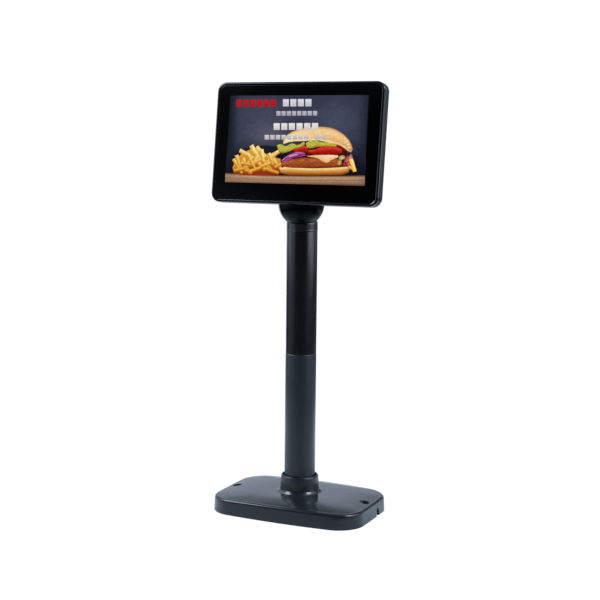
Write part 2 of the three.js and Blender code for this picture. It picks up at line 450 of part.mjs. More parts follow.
// ---------------------------------------------------------------------- head
{
  // front frame: rounded rim, glass ledge and the tongue that enters the rear cover
  let frame = loft([
    [2.9, 0.3], [2.2, 0.0], [1.3, 0.1], [0.55, 0.5], [0.12, 1.2], [0, 2.2], [0, 5.0], [0.35, 5.5],
    [2.5, 5.5], [2.5, 7.5], [3.6, 7.5], [3.6, 4.2], [9.0, 4.2], [9.0, 2.4], [2.9, 2.4],
  ].map(([i, w]) => headRing(i, w)), true);
  const bosses = [], pilots = [];
  for (const [x, z] of COVER_SCREWS) { bosses.push(cylinder('y', 3.2, 3.6, 7.5, x, z, 10)); pilots.push(cylinder('y', 1.6, 4.7, 9, x, z, 8)); }
  for (const [x, z] of CHASSIS_SCREWS) { bosses.push(cylinder('y', 2.4, 3.6, 7.4, x, z, 8)); pilots.push(cylinder('y', 1.3, 4.7, 9, x, z, 8)); }
  frame = cut(frame.add(union(bosses)), pilots);
  add(faceGroup, 'front_frame', frame, M.glossPlastic);

  add(faceGroup, 'front_glass', loft([headRing(3.6, 0.3), headRing(3.2, 0.65), headRing(3.2, 2.1)]), M.glass);
  add(faceGroup, 'panel_gasket', cut(box(-81.5, 81.5, 2.4, 3.0, -48, 50.3), box(-WINDOW_HALF_X - 1.1, WINDOW_HALF_X + 1.1, 2, 4, WINDOW_Z0 - 1.1, WINDOW_Z1 + 1.1)), M.foam);
  add(faceGroup, 'lcd_panel', cut(box(-LCD_HALF_X, LCD_HALF_X, 3.3, 7.5, LCD_Z0, LCD_Z1), box(-WINDOW_HALF_X, WINDOW_HALF_X, 3, 3.7, WINDOW_Z0, WINDOW_Z1)), M.lcdSteel);

  // chassis plate with its tabs and standoffs
  let chassis = box(-84, 84, 7.8, 8.8, -49, 49);
  const st = [], ho = [];
  for (const [x, z] of CHASSIS_SCREWS) { st.push(box(Math.min(x, x * 0.95) - 2.2, Math.max(x, x * 0.95) + 2.2, 7.8, 8.8, z - 4, z + 4)); ho.push(cylinder('y', 1.4, 6, 10, x, z, 8)); }
  for (const [x, z] of BRACKET_SCREWS) { st.push(cylinder('y', 2.6, 8.3, 19.2, x, z, 8)); ho.push(cylinder('y', 1.4, 12, 20, x, z, 8)); }
  for (const [x, z] of BOARD_SCREWS) { st.push(cylinder('y', 2.4, 8.3, 13.0, x, z, 8)); ho.push(cylinder('y', 1.3, 9.6, 14, x, z, 8)); }
  ho.push(box(-22, 22, 7, 10, -45, -40));
  chassis = cut(chassis.add(union(st)), ho);
  add(faceGroup, 'panel_chassis', chassis, M.lcdSteel);

  // driver board with its parts
  let board = box(-52, 52, 13.3, 14.9, -16, 40);
  board = union(board, box(-9, 9, 14.8, 16.6, 4, 22), box(16, 28, 14.8, 16.2, 6, 16), box(-40, -28, 14.8, 18.5, 20, 34), box(30, 38, 14.8, 20, 24, 32), box(-34, -20, 14.8, 16.4, -8, 4), box(26, 34, 14.8, 19, -6, 2));
  for (const [x, z] of BOARD_SCREWS) board = board.subtract(cylinder('y', 1.6, 12, 16, x, z, 8));
  add(faceGroup, 'driver_board', board, M.board);
  add(faceGroup, 'cable_connector', box(-7, 7, 15.2, 19.4, -16, -9).subtract(box(-5.6, 5.6, 16.2, 18.6, -17, -12)), M.connector);

  // flat ribbon from the panel, through the chassis slot, to the front of the board
  const line = [[7.9, -43.2], [9.4, -42.6], [10.6, -40], [11.6, -30], [12.4, -18], [12.6, -9]];
  const rib = [...line.map(([w, v]) => [w, v]), ...line.slice().reverse().map(([w, v]) => [w + 0.32, v - (v < -41 ? 0.32 : 0)])];
  add(faceGroup, 'lcd_ribbon', prism(rib, 'x', -16, 16), M.flex);

  // rear cover: rim, bevels and raised back, hollow, with screw wells and vents
  const plateau = (inset, w) => roundedRect(PLATEAU_HALF_X - inset, PLATEAU_Z0 + inset, PLATEAU_Z1 - inset, 9 - inset * 0.5).map(([u, v]) => [u, w, v]);
  const between = (a, b, t, w) => a.map((p, i) => [p[0] + (b[i][0] - p[0]) * t, w, p[2] + (b[i][2] - p[2]) * t]);
  const o3 = headRing(3.4, RIM_DEPTH), p0 = plateau(0, HUMP_DEPTH);
  const outer = [
    headRing(0.45, 6.1), headRing(0.05, 6.6), headRing(0, 7.4), headRing(0, 11.2), headRing(0.35, 12.2), headRing(1.1, 12.8), headRing(2.2, 13.0),
    o3, between(o3, p0, 0.92, 25.1), between(o3, p0, 0.975, 25.8), plateau(1.2, HUMP_DEPTH),
  ];
  const i3 = headRing(4.6, RIM_DEPTH - COVER_SKIN), q0 = plateau(2.4, HUMP_DEPTH - COVER_SKIN);
  const inner = [q0, i3, headRing(COVER_SKIN, RIM_DEPTH - COVER_SKIN), headRing(COVER_SKIN, 6.1)];
  // rings run: outer back -> rim -> inner back, capped at both ends
  let cover = loft([...outer.slice().reverse(), ...inner.slice().reverse()]);
  const filled = loft(outer);
  const wells = [], wellCuts = [];
  for (const [x, z] of COVER_SCREWS) {
    wells.push(cylinder('y', 4.4, 7.9, 24, x, z, 12));
    wellCuts.push(cylinder('y', 3.3, 10.0, 30, x, z, 12), cylinder('y', 1.8, 6, 12, x, z, 8));
  }
  cover = cover.add(union(wells).intersect(filled));
  const vents = [];
  for (const s of [-1, 1]) for (let k = 0; k < 6; k++) vents.push(box(s * (18 + 5.5 * k) - 1, s * (18 + 5.5 * k) + 1, 22, 28, 6, 24));
  cover = cut(cover, wellCuts, vents);
  // the ball nests in the lower back
  const nest = sphere(BALL_R + 0.5, 0, FACE_TO_PIVOT_DEPTH, -FACE_TO_PIVOT_DROP, 32).intersect(box(-40, 40, RIM_DEPTH, 60, -100, 0));
  cover = cover.subtract(nest);
  add(faceGroup, 'rear_cover', cover, M.glossPlastic);

  COVER_SCREWS.forEach(([x, z], i) => add(faceGroup, `cover_screw_${i + 1}`, screw('y', x, z, 2.9, 1.3, 10.3, 12.3, 5.0, true), M.zincScrew));
  CHASSIS_SCREWS.forEach(([x, z], i) => add(faceGroup, `chassis_screw_${i + 1}`, screw('y', x, z, 1.9, 1.0, 9.1, 10.2, 5.0), M.zincScrew));
  BRACKET_SCREWS.forEach(([x, z], i) => add(faceGroup, `bracket_screw_${i + 1}`, screw('y', x, z, 2.4, 1.1, 21.8, 23.2, 12.5), M.zincScrew));
  BOARD_SCREWS.forEach(([x, z], i) => add(faceGroup, `board_screw_${i + 1}`, screw('y', x, z, 2.2, 1.0, 15.2, 16.6, 9.9), M.zincScrew));
}

export default root;
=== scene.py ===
# Customer pole display: the looks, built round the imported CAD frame.
# Lengths in the mesh code are millimetres in the row frame and become metres when a mesh is made.
import math
import bpy
import bmesh
import numpy as np
from mathutils import Matrix, Vector


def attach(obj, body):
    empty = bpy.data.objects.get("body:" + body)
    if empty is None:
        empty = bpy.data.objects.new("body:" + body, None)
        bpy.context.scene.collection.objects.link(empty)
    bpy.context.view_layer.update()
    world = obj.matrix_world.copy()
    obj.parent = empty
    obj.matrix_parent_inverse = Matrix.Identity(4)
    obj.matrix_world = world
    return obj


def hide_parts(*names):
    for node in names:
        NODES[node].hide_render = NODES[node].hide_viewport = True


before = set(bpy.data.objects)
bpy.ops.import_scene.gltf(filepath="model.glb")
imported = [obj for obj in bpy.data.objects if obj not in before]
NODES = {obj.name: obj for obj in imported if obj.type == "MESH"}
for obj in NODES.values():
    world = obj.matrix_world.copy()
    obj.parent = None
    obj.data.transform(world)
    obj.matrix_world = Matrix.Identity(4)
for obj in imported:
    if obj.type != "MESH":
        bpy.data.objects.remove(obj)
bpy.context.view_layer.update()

D2R = math.pi / 180

# ------------------------------------------------------------ shared dimensions
PIVOT = (0.0, -2.5, 320.7)
TILT = 7.5
FACE_DEPTH, FACE_DROP = 23.58, 58.9
HX, HZ, HR = 92.25, 61.55, 9.5          # head half width, half height, corner radius
WIN_X, WIN_Z0, WIN_Z1 = 77.1, -41.15, 47.55
RIM, HUMP, SKIN = 13.0, 26.0, 2.2
BALL_R = 23.5

M_PIVOT = Matrix.Translation(PIVOT) @ Matrix.Rotation(-TILT * D2R, 4, "X")
M_FACE = M_PIVOT @ Matrix.Translation((0, -FACE_DEPTH, FACE_DROP))
M_WORLD = Matrix.Identity(4)


# ------------------------------------------------------------------ mesh helpers
def mesh_from(verts, faces):
    """A mesh in millimetres, closed seams merged and faces turned outward."""
    me = bpy.data.meshes.new("m")
    me.from_pydata([tuple(map(float, v)) for v in verts], [], [tuple(f) for f in faces])
    bm = bmesh.new()
    bm.from_mesh(me)
    bmesh.ops.remove_doubles(bm, verts=bm.verts, dist=1e-5)
    bmesh.ops.dissolve_degenerate(bm, edges=bm.edges, dist=1e-6)
    bmesh.ops.recalc_face_normals(bm, faces=bm.faces)
    bm.to_mesh(me)
    bm.free()
    return me


def join(meshes):
    bm = bmesh.new()
    for m in meshes:
        bm.from_mesh(m)
    out = bpy.data.meshes.new("j")
    bm.to_mesh(out)
    bm.free()
    for m in meshes:
        bpy.data.meshes.remove(m)
    return out


def boolean(a, b, op="DIFFERENCE"):
    """a (mesh) op b (mesh), both in millimetres; returns a new mesh."""
    oa, ob = bpy.data.objects.new("a", a), bpy.data.objects.new("b", b)
    for o in (oa, ob):
        bpy.context.scene.collection.objects.link(o)
    m = oa.modifiers.new("b", "BOOLEAN")
    m.operation, m.object, m.solver = op, ob, "EXACT"
    dg = bpy.context.evaluated_depsgraph_get()
    dg.update()
    out = bpy.data.meshes.new_from_object(oa.evaluated_get(dg))
    bpy.data.objects.remove(oa)
    bpy.data.objects.remove(ob)
    bpy.data.meshes.remove(a)
    bpy.data.meshes.remove(b)
    return out


def piece(name, me, mat, body, cad=(), place=M_WORLD, sharp=32, weighted=False):
    """Turns a millimetre mesh into a finished piece in the row frame."""
    bm = bmesh.new()
    bm.from_mesh(me)
    bmesh.ops.remove_doubles(bm, verts=bm.verts, dist=2e-4)
    bmesh.ops.dissolve_degenerate(bm, edges=bm.edges, dist=1e-4)
    bmesh.ops.transform(bm, matrix=Matrix.Scale(0.001, 4) @ place, verts=bm.verts)
    bm.to_mesh(me)
    bm.free()
    me.name = name
    me.materials.clear()
    me.materials.append(mat)
    me.polygons.foreach_set("material_index", [0] * len(me.polygons))
    me.polygons.foreach_set("use_smooth", [True] * len(me.polygons))
    me.set_sharp_from_angle(angle=sharp * D2R)
    me.update()
    ob = bpy.data.objects.new(name, me)
    bpy.context.scene.collection.objects.link(ob)
    if weighted:
        w = ob.modifiers.new("wn", "WEIGHTED_NORMAL")
        w.keep_sharp, w.weight = True, 60
    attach(ob, body)
    if cad:
        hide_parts(*cad)
    return ob


def rounded(pts, radii, n=5, closed=True):
    """Rounds the corners of a polyline: radii is one number or one per point."""
    k = len(pts)
    if not hasattr(radii, "__len__"):
        radii = [radii] * k
    out = []
    for i in range(k):
        p = np.array(pts[i], float)
        r = radii[i]
        if r <= 0 or (not closed and i in (0, k - 1)):
            out.append(tuple(p))
            continue
        a, b = np.array(pts[(i - 1) % k], float), np.array(pts[(i + 1) % k], float)
        ua, ub = a - p, b - p
        la, lb = np.linalg.norm(ua), np.linalg.norm(ub)
        ua, ub = ua / la, ub / lb
        ang = math.acos(max(-1, min(1, float(ua @ ub))))
        if ang > math.pi - 0.02:
            out.append(tuple(p))
            continue
        d = min(r / math.tan(ang / 2), 0.48 * la, 0.48 * lb)
        rr = d * math.tan(ang / 2)
        c = p + (ua + ub) / np.linalg.norm(ua + ub) * rr / math.sin(ang / 2)
        s, e = p + ua * d - c, p + ub * d - c
        a0, a1 = math.atan2(s[1], s[0]), math.atan2(e[1], e[0])
        da = (a1 - a0 + math.pi) % (2 * math.pi) - math.pi
        for j in range(n + 1):
            t = a0 + da * j / n
            out.append((c[0] + rr * math.cos(t), c[1] + rr * math.sin(t)))
    return out


def lathe(profile, seg=128, axis="z", closed=True):
    """Revolves (r, z) points. closed joins the last point to the first (a ring); points with r = 0 become poles."""
    verts, rows = [], []
    for r, z in profile:
        if r < 1e-9:
            rows.append([len(verts)])
            verts.append((0, 0, z))
        else:
            rows.append(list(range(len(verts), len(verts) + seg)))
            for i in range(seg):
                t = 2 * math.pi * i / seg
                verts.append((r * math.cos(t), r * math.sin(t), z))
    faces = []
    pairs = list(zip(rows[:-1], rows[1:])) + ([(rows[-1], rows[0])] if closed else [])
    for a, b in pairs:
        if len(a) == 1 and len(b) == 1:
            continue
        for i in range(seg):
            j = (i + 1) % seg
            if len(a) == 1:
                faces.append((a[0], b[j], b[i]))
            elif len(b) == 1:
                faces.append((a[i], a[j], b[0]))
            else:
                faces.append((a[i], a[j], b[j], b[i]))
    if axis == "x":
        verts = [(z, x, y) for x, y, z in verts]
    if axis == "y":
        verts = [(x, z, -y) for x, y, z in verts]
    return mesh_from(verts, faces)


def moved(me, x=0, y=0, z=0):
    me.transform(Matrix.Translation((x, y, z)))
    return me


def skin(rings, loop=False, caps=True):
    """Quads between rings of equal length; end caps are single faces."""
    n = len(rings[0])
    verts = [p for r in rings for p in r]
    faces = []
    for k in range(len(rings) if loop else len(rings) - 1):
        a, b = k * n, ((k + 1) % len(rings)) * n
        faces += [(a + i, a + (i + 1) % n, b + (i + 1) % n, b + i) for i in range(n)]
    if not loop and caps:
        faces.append(tuple(range(n))[::-1])
        faces.append(tuple(range((len(rings) - 1) * n, len(rings) * n)))
    return mesh_from(verts, faces)


def prism(outline, axis, a0, a1):
    """Prism of an outline [u, v] along an axis."""
    put = {"x": lambda u, v, w: (w, u, v), "y": lambda u, v, w: (u, w, v), "z": lambda u, v, w: (u, v, w)}[axis]
    return skin([[put(u, v, a0) for u, v in outline], [put(u, v, a1) for u, v in outline]])


def box(x0, x1, y0, y1, z0, z1):
    return prism([(x0, y0), (x1, y0), (x1, y1), (x0, y1)], "z", z0, z1)


def disc(axis, r, a0, a1, c1=0, c2=0, seg=48):
    ring = [(r * math.cos(2 * math.pi * i / seg), r * math.sin(2 * math.pi * i / seg)) for i in range(seg)]
    return prism([(c1 + u, c2 + v) for u, v in ring], axis, a0, a1)


def rounded_rect(hx, z0, z1, r, per=14):
    r = max(r, 0.35)
    pts = []
    for sx, top, a0 in ((1, 1, 0), (-1, 1, 90), (-1, 0, 180), (1, 0, 270)):
        cx, cz = sx * (hx - r), (z1 - r if top else z0 + r)
        for k in range(per + 1):
            t = (a0 + 90 * k / per) * D2R
            pts.append((cx + r * math.cos(t), cz + r * math.sin(t)))
    return pts


def head_ring(inset, depth, per=14):
    return [(u, depth, v) for u, v in rounded_rect(HX - inset, -HZ + inset, HZ - inset, HR - inset, per)]


def base_outline(inset, corner=22, long_n=27, short_n=11):
    a, b, r = 82.8 - inset, 52.4 - inset, max(25 - inset, 2)
    corners = ((1, 1, 0), (-1, 1, 90), (-1, -1, 180), (1, -1, 270))
    pts = []
    for q, (sx, sy, a0) in enumerate(corners):
        cx, cy = sx * (a - r), sy * (b - r)
        for k in range(corner + 1):
            t = (a0 + 90 * k / corner) * D2R
            pts.append((cx + r * math.cos(t), cy + r * math.sin(t)))
        nx, ny, na = corners[(q + 1) % 4]
        ex, ey = nx * (a - r) + r * math.cos(na * D2R), ny * (b - r) + r * math.sin(na * D2R)
        lx, ly = pts[-1]
        m = long_n if q % 2 == 0 else short_n
        for k in range(1, m + 1):
            pts.append((lx + (ex - lx) * k / (m + 1), ly + (ey - ly) * k / (m + 1)))
    out = []
    for x, y in pts:
        out.append((x + math.copysign(1, x) * 0.9 * (1 - (y / b) ** 2) * abs(x) / a,
                    y + math.copysign(1, y) * 4.65 * (1 - (x / a) ** 2) * abs(y) / b))
    return out


# --------------------------------------------------------------------- materials
class Nodes:
    """Small helper for building a node tree."""

    def __init__(self, tree):
        self.t = tree

    def new(self, kind, **values):
        n = self.t.nodes.new(kind)
        for k, v in values.items():
            setattr(n, k, v)
        return n

    def link(self, a, b):
        self.t.links.new(a, b)


def principled(name, color, rough, metallic=0.0, ior=1.5, coat=0.0, coat_rough=0.04, spec=0.5,
               vary=0.12, vary_scale=60, rough_vary=0.05, rough_scale=90, grain=0.0, grain_scale=2200,
               fine=0.0, fine_scale=700, stretch=(1, 1, 1), aniso=0.0):
    """A moulded or painted surface: slow colour drift, patchy roughness and a grain that is real bump."""
    m = bpy.data.materials.new(name)
    m.use_nodes = True
    m.diffuse_color = (*color, 1)
    N = Nodes(m.node_tree)
    for n in list(m.node_tree.nodes):
        m.node_tree.nodes.remove(n)
    out = N.new("ShaderNodeOutputMaterial")
    p = N.new("ShaderNodeBsdfPrincipled")
    N.link(p.outputs["BSDF"], out.inputs["Surface"])
    p.inputs["Metallic"].default_value = metallic
    p.inputs["IOR"].default_value = ior
    p.inputs["Specular IOR Level"].default_value = spec
    p.inputs["Coat Weight"].default_value = coat
    p.inputs["Coat Roughness"].default_value = coat_rough
    p.inputs["Anisotropic"].default_value = aniso
    tc = N.new("ShaderNodeTexCoord")
    mp = N.new("ShaderNodeMapping")
    mp.inputs["Scale"].default_value = stretch
    N.link(tc.outputs["Object"], mp.inputs["Vector"])
    n1 = N.new("ShaderNodeTexNoise")
    n1.inputs["Scale"].default_value = vary_scale
    n1.inputs["Detail"].default_value = 4
    N.link(mp.outputs["Vector"], n1.inputs["Vector"])
    ramp = N.new("ShaderNodeValToRGB")
    e = ramp.color_ramp.elements
    e[0].position, e[1].position = 0.3, 0.7
    e[0].color = (*[c * (1 - vary) for c in color], 1)
    e[1].color = (*[c * (1 + vary) for c in color], 1)
    N.link(n1.outputs["Fac"], ramp.inputs["Fac"])
    N.link(ramp.outputs["Color"], p.inputs["Base Color"])
    n2 = N.new("ShaderNodeTexNoise")
    n2.inputs["Scale"].default_value = rough_scale
    n2.inputs["Detail"].default_value = 5
    n2.inputs["Roughness"].default_value = 0.6
    N.link(mp.outputs["Vector"], n2.inputs["Vector"])
    mr = N.new("ShaderNodeMapRange")
    mr.inputs["From Min"].default_value, mr.inputs["From Max"].default_value = 0.3, 0.7
    mr.inputs["To Min"].default_value, mr.inputs["To Max"].default_value = max(rough - rough_vary, 0.02), min(rough + rough_vary, 1)
    N.link(n2.outputs["Fac"], mr.inputs["Value"])
    N.link(mr.outputs["Result"], p.inputs["Roughness"])
    last = None
    for amount, scale, dist in ((grain, grain_scale, 0.00004), (fine, fine_scale, 0.0001)):
        if amount > 0:
            n3 = N.new("ShaderNodeTexNoise")
            n3.inputs["Scale"].default_value = scale
            n3.inputs["Detail"].default_value = 2
            N.link(mp.outputs["Vector"], n3.inputs["Vector"])
            b = N.new("ShaderNodeBump")
            b.inputs["Strength"].default_value = amount
            b.inputs["Distance"].default_value = dist
            N.link(n3.outputs["Fac"], b.inputs["Height"])
            if last:
                N.link(last.outputs["Normal"], b.inputs["Normal"])
            last = b
    if last:
        N.link(last.outputs["Normal"], p.inputs["Normal"])
    return m


MAT = {
    "base": principled("base_plastic", (0.0105, 0.0125, 0.0170), 0.15, grain=0.10, grain_scale=1500, rough_vary=0.03, vary=0.08),
    "socket": principled("socket_plastic", (0.0105, 0.0130, 0.0170), 0.24, grain=0.10, grain_scale=1500, vary=0.08),
    "steel": principled("ballast_steel", (0.045, 0.047, 0.052), 0.45, metallic=0.6, grain=0.4, grain_scale=600, vary=0.2, vary_scale=30),
    "lower": principled("lower_tube_paint", (0.0190, 0.0235, 0.0300), 0.34, grain=0.15, grain_scale=1600, vary=0.08),
    "upper": principled("upper_tube_paint", (0.0068, 0.0058, 0.0072), 0.20, grain=0.08, grain_scale=1400, vary=0.08),
    "bevel": principled("joint_edge", (0.11, 0.12, 0.13), 0.35, metallic=0.6, grain=0.2),
    "gloss": principled("head_plastic", (0.0030, 0.0030, 0.0034), 0.12, spec=0.55, rough_vary=0.03, grain=0.06, grain_scale=900, vary=0.15),
    "collar": principled("collar_plastic", (0.0070, 0.0064, 0.0084), 0.19, spec=1.0, rough_vary=0.02, grain=0.06, grain_scale=1400, vary=0.1),
    "ball": principled("shroud_plastic", (0.0016, 0.0018, 0.0022), 0.17, spec=0.11, rough_vary=0.04, grain=0.12, grain_scale=1200, vary=0.12),
    "rear": principled("rear_plastic", (0.010, 0.0105, 0.0115), 0.25, spec=0.25, grain=0.6, grain_scale=1300, vary=0.10),
    "rubber": principled("foot_rubber", (0.018, 0.018, 0.019), 0.75, grain=0.7, grain_scale=900, vary=0.15),
    "foam": principled("soft_rubber", (0.016, 0.016, 0.017), 0.9, grain=1.0, grain_scale=1400, vary=0.2),
    "jacket": principled("cable_jacket", (0.014, 0.014, 0.015), 0.45, grain=0.3, grain_scale=900, vary=0.1),
    "screw": principled("screw_steel", (0.42, 0.43, 0.45), 0.30, metallic=1.0, grain=0.3, grain_scale=1800, vary=0.08),
    "spring": principled("spring_steel", (0.40, 0.41, 0.43), 0.28, metallic=1.0, grain=0.3, grain_scale=1500, vary=0.08),
    "hinge": principled("hinge_steel", (0.30, 0.31, 0.33), 0.38, metallic=1.0, grain=0.5, grain_scale=900, stretch=(1, 6, 1), vary=0.1),
    "plated": principled("plated_shell", (0.60, 0.60, 0.61), 0.25, metallic=1.0, grain=0.2, vary=0.06),
    "chassis": principled("chassis_metal", (0.62, 0.63, 0.65), 0.35, metallic=1.0, grain=0.4, grain_scale=700, stretch=(8, 1, 1), vary=0.06),
    "board": principled("board_laminate", (0.012, 0.085, 0.035), 0.35, grain=0.4, grain_scale=500, vary=0.25, vary_scale=220),
    "flex": principled("flex_ribbon", (0.30, 0.15, 0.035), 0.35, grain=0.2, grain_scale=900, vary=0.2),
    "acetal": principled("bearing_plastic", (0.66, 0.64, 0.58), 0.42, grain=0.25, vary=0.05),
    "inner": principled("inner_plastic", (0.07, 0.07, 0.078), 0.5, grain=0.4, vary=0.1),
    "glass": principled("screen_glass", (0.0010, 0.0010, 0.0011), 0.06, spec=0.35, rough_vary=0.012, rough_scale=25, grain=0.0, vary=0.1),
    "lcd": principled("lcd_glass", (0.05, 0.052, 0.058), 0.25, grain=0.1, vary=0.1),
}


def smooth_curve(pts, n=4):
    """Points of a centripetal-like spline through pts, n steps to each span."""
    p = [np.array(q, float) for q in pts]
    p = [2 * p[0] - p[1]] + p + [2 * p[-1] - p[-2]]
    out = []
    for i in range(1, len(p) - 2):
        d0, d1, d2 = (max(np.linalg.norm(p[i + k] - p[i + k - 1]), 1e-9) ** 0.5 for k in (0, 1, 2))
        m1 = (p[i] - p[i - 1]) / d0 - (p[i + 1] - p[i - 1]) / (d0 + d1) + (p[i + 1] - p[i]) / d1
        m2 = (p[i + 1] - p[i]) / d1 - (p[i + 2] - p[i]) / (d1 + d2) + (p[i + 2] - p[i + 1]) / d2
        m1, m2 = m1 * d1, m2 * d1
        for j in range(n):
            t = j / n
            h = (2 * t**3 - 3 * t**2 + 1, t**3 - 2 * t**2 + t, -2 * t**3 + 3 * t**2, t**3 - t**2)
            out.append(tuple(h[0] * p[i] + h[1] * m1 + h[2] * p[i + 1] + h[3] * m2))
    out.append(tuple(p[-2]))
    return out


# -------------------------------------------------------------------------- base
def arch(x):
    return 1 - (x / 82.8) ** 2


def base_flat(inset, z):
    return [(x, y, z + arch(x) * (z - 0.3) / 13) for x, y in base_outline(inset)]


def base_blend(inset, z_edge, radius, z_mid, s):
    f = 1 - (1 - s) ** 2
    out = []
    for x, y, z in base_flat(inset, z_edge):
        t = math.atan2(y, x)
        out.append((x + (radius * math.cos(t) - x) * s, y + (radius * math.sin(t) - y) * s, z + (z_mid - z) * f))
    return out


def base_circle(r, z):
    out = []
    for x, y in base_outline(4):
        t = math.atan2(y, x)
        out.append((r * math.cos(t), r * math.sin(t), z))
    return out


def make_base_cover():
    crown = 20.6
    rim = [(2.5, 0.3), (0.4, 0.3), (0.1, 0.4), (0.0, 0.7), (0.05, 1.8), (0.38, 7.4), (0.70, 13.0)] + smooth_curve(
        [(0.73, 13.15), (0.95, 14.15), (1.5, 15.0), (2.3, 15.48), (3.3, 15.7), (4.4, 15.8)], 5)
    rings = [base_flat(i, z) for i, z in rim]
    rings += [base_blend(4.4, 15.8, 24.4, crown, s) for s in (0.04, 0.09, 0.15, 0.22, 0.3, 0.39, 0.48, 0.58, 0.68, 0.78, 0.87, 0.94)]
    lip = rounded([(24.4, crown), (23.0, crown + 0.3), (22.1, crown + 1.4), (21.5, crown + 2.4), (21.2, crown + 2.95), (20.35, crown + 3.0)], [0, 0.6, 1.2, 0.8, 0.2, 0], 5, closed=False)
    rings += [base_circle(r, z) for r, z in lip]
    inner = [base_circle(20.35, crown - 2.5), base_circle(24, crown - 2.5)]
    inner += [base_blend(5.2, 12.0, 24, crown - 2.5, s) for s in (0.8, 0.6, 0.45, 0.3, 0.15)]
    inner += [base_flat(5.2, 12.0), base_flat(3.4, 11.0), base_flat(2.5, 9.2)]
    cover = skin(rings + inner, loop=True)
    # bosses of the counter screws, joined under the top, then the holes with a broken edge
    for sx in (-1, 1):
        boss = lathe([(0, 8.8), (6.3, 8.8), (6.3, 14.2), (0, 14.2)], 48, closed=False)
        cover = boolean(cover, moved(boss, sx * 73.5, 0), "UNION")
        hole = lathe([(0, 8), (4.5, 8), (4.5, 15.0), (4.85, 15.8), (5.2, 18), (0, 18)], 64, closed=False)
        cover = boolean(cover, moved(hole, sx * 73.5, 0))
    ym = 12.45
    notch = rounded([(9.1, 0), (15.8, 0), (15.8, 4.6), (ym + 1.6, 8.0), (ym + 0.6, 9.2), (ym - 0.6, 9.2), (ym - 1.6, 8.0), (9.1, 4.6)],
                    [0, 0, 0.9, 0.5, 0.3, 0.3, 0.5, 0.9], 4)
    return boolean(cover, prism(notch, "x", 76, 90))


piece("base_cover_surface", make_base_cover(), MAT["base"], "stand", ["base_cover"], sharp=38)

socket_profile = rounded([(12, 8.8), (30, 8.8), (30, 11.8), (19.9, 11.8), (19.9, 30.2), (19.45, 36.6), (19.0, 37.8), (18.3, 38.3), (17.9, 38.3),
                          (17.5, 37.5), (17.4, 34.6), (16.3, 33.4), (16.3, 12.6), (12, 12.6)],
                         [0, 0.4, 0.4, 0.3, 0.8, 1.4, 0.8, 0.4, 0.3, 0.3, 0.5, 0.3, 0, 0], 5)
socket = lathe(socket_profile, 160)
piece("pole_socket_surface", socket, MAT["socket"], "stand", ["pole_socket"], sharp=38)

def make_liner_and_shade_tab():
    """Thin sheet stuck under the ballast plate, with holes for the feet and the screws, and a dark tab that is painted
    shade at the foot of the cable notch.
    """
    me = skin([[(x, y, z) for x, y in base_outline(3.6)] for z in (1.9, 2.3)])
    for sx in (-1, 1):
        me = boolean(me, disc("z", 4.2, 1, 3, sx * 73.5, 0))
        for sy in (-1, 1):
            me = boolean(me, disc("z", 7.4, 1, 3, sx * 66, sy * 36))
            me = boolean(me, disc("z", 3.8, 1, 3, sx * 44, sy * 40))
    for a in (90, 210, 330):
        me = boolean(me, disc("z", 4.2, 1, 3, 25 * math.cos(a * D2R), 25 * math.sin(a * D2R)))
    # a tab of the sheet closes the foot of the cable notch: a dark sheet put there as painted shade, standing in for
    # the floor's shadow at the notch's foot
    return boolean(me, box(75.2, 81.8, 9.35, 15.55, 0.35, 2.2), "UNION")


# the liner carries the dark tab that is painted shade at the foot of the cable notch
piece("underside_liner_and_shade_tab", make_liner_and_shade_tab(), MAT["foam"], "stand")

k = 0
for sx, sy in ((-1, -1), (1, -1), (1, 1), (-1, 1)):
    k += 1
    foot = rounded([(0, 0.45), (2.0, 0.45), (2.6, 0), (6.2, 0), (7, 0.8), (7, 3), (0, 3)], [0, 0.3, 0.3, 0.6, 0.5, 0.1, 0], 4, closed=False)
    piece(f"rubber_foot_{k}_surface", moved(lathe(foot, 72, closed=False), sx * 66, sy * 36), MAT["rubber"], "stand", [f"rubber_foot_{k}"])


def cross_screw(r_head, h, r_shaft, length, seg=40):
    """Pan-head screw with a cross recess; the head's top is at z = h and the shaft runs down from z = 0."""
    head = rounded([(0, -length), (r_shaft * 0.55, -length), (r_shaft, -length + r_shaft * 0.8), (r_shaft, 0), (r_head, 0), (r_head, h * 0.45), (r_head * 0.72, h), (0, h)],
                   [0, 0, 0.2, 0, 0.08, 0.5, 0.9, 0], 4, closed=False)
    me = lathe(head, seg, closed=False)
    w, d = r_head * 0.16, h * 0.62
    for a in (0, 90):
        bar = skin([[(-r_head * 0.40, -w * 0.55, h - d), (r_head * 0.40, -w * 0.55, h - d), (r_head * 0.40, w * 0.55, h - d), (-r_head * 0.40, w * 0.55, h - d)],
                    [(-r_head * 0.56, -w, h + 0.3), (r_head * 0.56, -w, h + 0.3), (r_head * 0.56, w, h + 0.3), (-r_head * 0.56, w, h + 0.3)]])
        bar.transform(Matrix.Rotation(a * D2R, 4, "Z"))
        me = boolean(me, bar)
    return me


for i, (sx, sy) in enumerate(((-1, -1), (1, -1), (1, 1), (-1, 1)), 1):
    s = cross_screw(3.4, 1.9, 1.5, 8.0)
    s.transform(Matrix.Translation((sx * 44, sy * 40, 4.8)) @ Matrix.Rotation(math.pi, 4, "X") @ Matrix.Rotation(0.5 * i, 4, "Z"))
    piece(f"base_screw_{i}_surface", s, MAT["screw"], "stand", [f"base_screw_{i}"], sharp=30)
for i, a in enumerate((90, 210, 330), 1):
    s = cross_screw(3.8, 2.3, 1.5, 5.4)
    s.transform(Matrix.Translation((25 * math.cos(a * D2R), 25 * math.sin(a * D2R), 5.2)) @ Matrix.Rotation(math.pi, 4, "X") @ Matrix.Rotation(0.8 * i, 4, "Z"))
    piece(f"socket_screw_{i}_surface", s, MAT["screw"], "stand", [f"socket_screw_{i}"], sharp=30)

